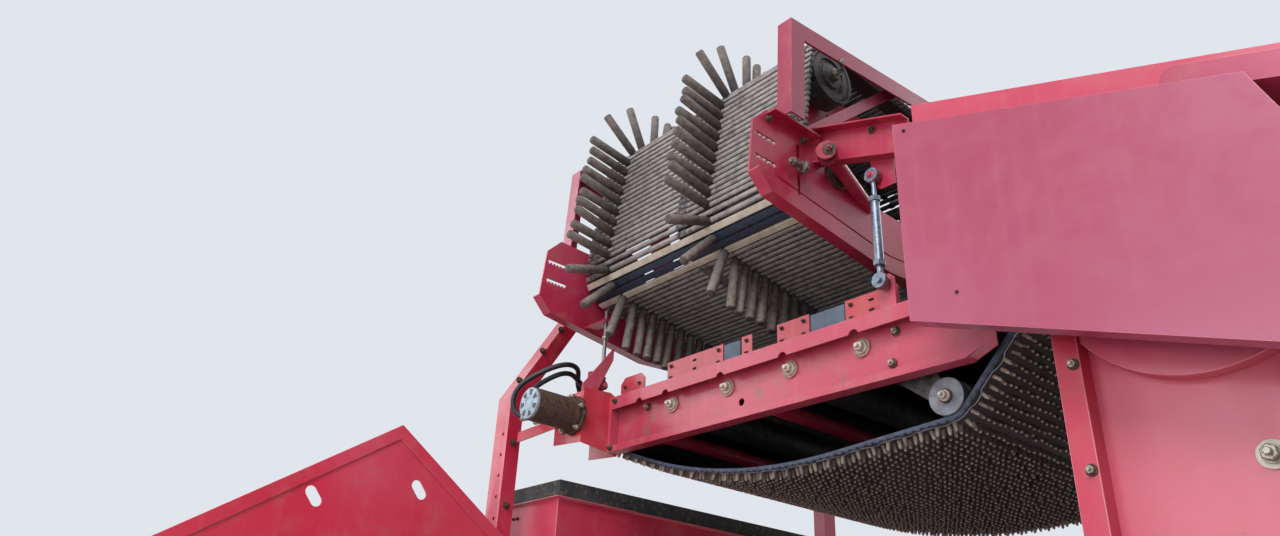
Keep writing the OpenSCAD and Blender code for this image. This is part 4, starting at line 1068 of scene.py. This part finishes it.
def make_bolts(mats):
    zinc, rusty, pale = mats["zinc"], mats["rusty"], mats["pale_washer"]
    rollers = seats(RAIL_FACE, *[(-377 + 259 * i, 972) for i in range(4)])
    set_bolts("roller_bolt", "frame", rollers, 24, 56, pale, mats["stained_washer"], 5.0, 38)
    set_bolts("rail_bolt", "frame", seats(RAIL_FACE, (-505, 990), (512, 990), (494, 903)), 16, 28, zinc,
              rusty)
    set_bolts("rail_end_bolt", "frame", seats(WALL_FACE, (-652, 861), (-640, 1030)), 14, 20, rusty, rusty,
              2.0)
    # A pair over one another near each end of a plate, single ones on the last plate
    pairs = [(x, z) for x in (-383, -155, 117, 202, 375, 513) for z in PLATE_ROWS]
    pairs += [(-627, 1087), (-551, 1087)]
    pairs += [(-30, z) for z in PLATE_ROWS]
    set_bolts("plate_bolt", "frame", seats(PLATE_FACE, *pairs), 9, 15, rusty, rusty, 1.5)
    set_bolts("wall_bolt", "frame", seats(WALL_FACE, (1308, 514)), 28, 56, zinc, pale, 5.0, 38)
    set_bolts("post_bolt", "frame", seats(POST_FACE, (1001, 750), (1001, 522)), 16, 26, zinc, rusty)
    crank = [((CRANK_FACE, y, z), RIGHT)
             for y, z in ((-905, 1120), (-815, 1262), (-740, 1372), (-902, 884), (-902, 661))]
    set_bolts("crank_bolt", "frame", crank, 15, 26, rusty, rusty)
    set_bolts("disc_bolt", "frame", seats(-629, RETURN), 20, 38, pale, rusty, 5.0, 30)
    set_bolts("box_bolt", "frame", seats(BOX_FACE, (-1040, 640), (-1015, 640)), 8, 13, rusty, rusty, 1.0)
    set_bolts("cover_screw", "cover", seats(COVER_FACE, (730, 1426), (825, 934)), 6, 10, rusty, rusty,
              1.0)
    arm = [((ARM_FACES[1], y, z), RIGHT) for y, z in ((-926, 1640), (-766, 1637))]
    set_bolts("arm_bolt", "finger_web", arm, 15, 24, rusty, rusty)
    set_bolts("beam_bolt", "finger_web", seats(-685, (518, 1621)), 15, 26, rusty, rusty)
    # The pin stands square on the slanted ear
    pin = [((412, -755, 1570), (0.469, -0.883, 0))]
    set_bolts("ear_pin", "finger_web", pin, 18, 44, mats["old_red"], rusty, 3.0)
    set_bolts("guard_bolt", "finger_web", [((376, -625, 1993), RIGHT)], 12, 20, zinc, rusty)
    pivot = [((x, 740, 1451), (side, 0, 0)) for x, side in ((-885, -1), (385, 1))]
    set_bolts("pivot_bolt", "frame", pivot, 30, 60, zinc, rusty, 5.0, 40)


# Pale floor and sky, and four lamps: (place in metres, width, power); the numbers are Blender's own
FLOOR_GLOW = 0.6
LAMPS = {
    "key": ((2.4, -5.2, 5.6), 3.0, 290),
    "fill": ((-4.5, -3.5, 3.5), 3.5, 80),
    "back": ((0.5, 5.0, 5.0), 3.0, 120),
    "low": ((0.9, -5.0, 0.9), 3.0, 70),
}


def make_studio():
    deselect()
    bpy.ops.mesh.primitive_plane_add(size=60)
    floor = bpy.context.object
    floor.name = "floor"
    mat = start_material("pale_floor")
    rays = add(mat, "LightPath")
    seen = add(mat, "Math", {0: (rays, "Is Camera Ray"), 1: (rays, "Is Glossy Ray")}, operation="MAXIMUM")
    # This share of what the camera sees of the floor is its own pale tone, so that it stays even
    share = add(mat, "Math", {0: (seen, "Value"), 1: FLOOR_GLOW}, operation="MULTIPLY")
    lit = add(mat, "BsdfPrincipled", {"Base Color": linear("#B9B6B0"), "Roughness": 0.9,
                                      "Specular IOR Level": 0.1})
    even = add(mat, "Emission", {"Color": linear("#E6E8EB")})
    both = add(mat, "MixShader", {0: (share, "Value"), 1: (lit, "BSDF"), 2: (even, "Emission")})
    add(mat, "OutputMaterial", {"Surface": (both, "Shader")})
    floor.data.materials.append(mat)
    world = bpy.data.worlds.new("studio")
    bpy.context.scene.world = world
    world.use_nodes = True
    world.node_tree.nodes.clear()
    rays = add(world, "LightPath")
    seen = add(world, "Math", {0: (rays, "Is Camera Ray"), 1: (rays, "Is Glossy Ray")},
               operation="MAXIMUM")
    strength = add(world, "MapRange", {"Value": (seen, "Value"), "To Min": 0.55, "To Max": 0.92})
    sky = add(world, "Background", {"Color": linear("#E9EEF5"), "Strength": (strength, "Result")})
    add(world, "OutputWorld", {"Surface": (sky, "Background")})
    for name, (place, size, power) in LAMPS.items():
        lamp = bpy.data.lights.new(name, "AREA")
        lamp.size = size
        lamp.energy = power
        obj = placed(name, lamp)
        obj.location = place
        aim = Vector((0, 0, 1.1)) - Vector(place)
        obj.rotation_mode = "QUATERNION"
        obj.rotation_quaternion = aim.to_track_quat("-Z", "Y")
    bpy.context.scene.view_settings.view_transform = "Standard"


def make_materials():
    return {
        # One enamel, faded, in tones set part by part that also hold painted light: the pinker tones are
        # partly a painted sky reflection, and the guard's darker tone is painted shade
        "red": red_enamel("frame_enamel", "#A92036", "#B93D50", "#8F182B", 0.4),
        "post_red": red_enamel("post_enamel", "#BC2040", "#C63A56", "#A61A36", 0.25),
        "shade_red": red_enamel("box_enamel", "#C42E4C", "#CC4864", "#AE2440", 0.3),
        "wall_red": red_enamel("wall_enamel", "#CA4A66", "#CE6076", "#BC3A54", 0.2),
        "rail_red": red_enamel("rail_enamel", "#C24862", "#CA6076", "#B43A52", 0.5, 0.7, 0.2,
                               [((-505, -640, 905), 62), ((-480, -640, 945), 48), ((10, -640, 928), 52),
                                ((332, -640, 896), 34), ((-620, -645, 1045), 40)]),
        "plate_red": red_enamel("plate_enamel", "#BC3C48", "#C65660", "#A93240", 0.45, 0.7, 0.2),
        "bracket_red": red_enamel("bracket_enamel", "#CC3C4C", "#D25A68", "#B82E3E", 0.35, 0.5, 0.15),
        # Pale pink: faded enamel with a painted sky reflection
        "pink_red": red_enamel("faded_and_sky_sheen_enamel", "#C95A70", "#D47A8A", "#B84458", 0.4),
        "gable_red": red_enamel("gable_enamel", "#D02444", "#D44A62", "#C41832", 0.25),
        "arm_red": red_enamel("arm_enamel", "#B4264A", "#C04662", "#A21C3C", 0.3, 0.5, 0.2),
        # The ear's enamel: no gloss left where the beam's bolt rubs it
        "ear_red": grained("matt_ear_enamel", "#8A1E34", "#A83A4E", 40, (0.6, 0.85), 0.0, 0.2,
                           speck="#98505A"),
        # The guard's darker tone is painted shade
        "guard_red": red_enamel("guard_enamel", "#9A2848", "#AA4662", "#881E3C", 0.25),
        "cover_red": red_enamel("cover_enamel", "#A84664", "#AE5676", "#A23E5A", 0.1, 0.3),
        "hinge_red": red_enamel("hinge_enamel", "#AC3A58", "#B84E6C", "#9A2E4A", 0.3),
        # Edges where the enamel is rubbed thin, painted pale pink as a painted highlight
        "edge_highlight_red": red_enamel("rubbed_edge_highlight_enamel", "#D06878", "#DC8A94", "#C24C5C", 0.2, 0.2),
        # Paint and rust on the ball housings
        "old_red": grained("rusted_enamel", "#5E2E30", "#94505A", 12, (0.5, 0.8), 0.0, 0.5,
                           speck="#A67874"),
        # Spring steel rods worn by soil: a grey-brown film, with pale crowns that are a painted highlight
        "rod": grained("spring_steel_rod", "#3A373D", "#726C6E", 30, (0.36, 0.65), 0.25, 0.2,
                       speck="#807A7A", worn="#A49B97"),
        # Painted slats: chalky cream gone grey, and blue-black strips between them that are painted shade
        # of the gaps there
        "slat": grained("weathered_cream_slat", "#A69A8C", "#CFC5B6", 60, (0.5, 0.75), 0.0, 0.2,
                        speck="#BAAE9E"),
        "sleeve": grained("blue_black_gap_shade", "#141C2C", "#223048", 30, (0.4, 0.6), 0.0, 0.1),
        # Moulded natural rubber: dark at a finger's foot, and pale brown towards its tip, rubbed and
        # dusty there and partly a painted highlight
        "finger": grained("finger_rubber", "#2A2729", "#625955", 22, (0.55, 0.9), 0.0, 0.7,
                          speck="#3A3434", worn="#8B8079"),
        # Moulded rubber of the feet under the fingers, darker than the fingers, and the belts' black
        # rubber with fabric in it
        "clamp": grained("clamp_rubber", "#1F2228", "#383D46", 20, (0.6, 0.85), 0.0, 0.3),
        "belt": grained("belt_rubber", "#221D20", "#3B3335", 18, (0.55, 0.85), 0.0, 0.4),
        # Corded navy rubber edge with a painted blue sheen of sky reflection, and the bright spring wire
        # laid over it
        "rope": grained("corded_edge_rubber", "#222838", "#4C5870", 14, (0.4, 0.7), 0.0, 0.5),
        "wire": grained("edge_wire", "#7C8088", "#C4C8CC", 20, (0.3, 0.5), 0.6, 0.2),
        # Moulded pintles: black, with tips that crop and soil have rubbed pale, partly a painted
        # highlight; the outer pins are painted pale as a painted highlight
        "pintle": grained("pintle_rubber", "#1E191C", "#3A3032", 50, (0.55, 0.85), 0.0, 0.3,
                          worn="#C0B2A4"),
        # Sheet rubber: dull and dusty on the apron, greyed by the sun on the flaps
        "apron": grained("apron_rubber", "#2C2E31", "#4A4C4E", 60, (0.6, 0.9), 0.0, 0.4, speck="#6A6250"),
        "flap": grained("flap_rubber", "#465260", "#5D6B7A", 40, (0.55, 0.8), 0.0, 0.2),
        # Extruded hose rubber: black with a soft sheen
        "hose": grained("hose_rubber", "#101115", "#23262C", 30, (0.35, 0.5), 0.0, 0.1),
        "thread": threaded("rolled_thread_zinc"),
        # Hot-dipped zinc, blue-grey and half dull; washers of the same steel stained by rust water
        "galvanised": grained("galvanised_steel", "#6C7686", "#9CA8B8", 16, (0.3, 0.5), 0.75, 0.15,
                              speck="#6E7076"),
        "stained_washer": grained("stained_washer_steel", "#8A6458", "#C4A08E", 14, (0.45, 0.7), 0.3, 0.3,
                                  speck="#7A5448"),
        # Plated bolts: warm grey metal with small rust spots, paler where the plating is chromated
        "zinc": grained("zinc_plated_steel", "#8D8A7E", "#BAB8AE", 12, (0.3, 0.55), 0.8, 0.15,
                        speck="#7A6A55"),
        "pale_washer": grained("chromated_washer_steel", "#A89E92", "#D2CAC0", 16, (0.4, 0.6), 0.4, 0.15),
        # Bolts and castings that have lost their plating: brown rust, dull and rough
        "old_steel": grained("weathered_bolt_steel", "#4A4240", "#8E8078", 12, (0.45, 0.7), 0.4, 0.3,
                             speck="#7C5E4C"),
        "rusty": grained("rusty_cast_iron", "#2B2524", "#5E4438", 14, (0.6, 0.9), 0.2, 0.6,
                         speck="#7A563E"),
        # Cast aluminium, pale blue-grey with a fine grain; turned steel discs and rollers, oily grey
        "cap": grained("cast_aluminium", "#8496A6", "#B0C0CC", 12, (0.4, 0.6), 0.3, 0.2),
        "disc": grained("worn_roller_disc", "#565B66", "#8A8E96", 40, (0.35, 0.6), 0.5, 0.15,
                        speck="#7A6A5C"),
        "roller": grained("roller_steel", "#3B3A3E", "#6A686A", 20, (0.4, 0.7), 0.5, 0.2,
                          speck="#5A4A3C"),
    }


make_camera()
mats = make_materials()
dress_nodes(mats)
make_pintle_belt(mats)
make_rods(mats)
make_fingers(mats)
make_web_rollers(mats)
make_infeed(mats)
make_motor(mats)
make_hoses(mats)
make_screws(mats)
make_bolts(mats)
make_studio()
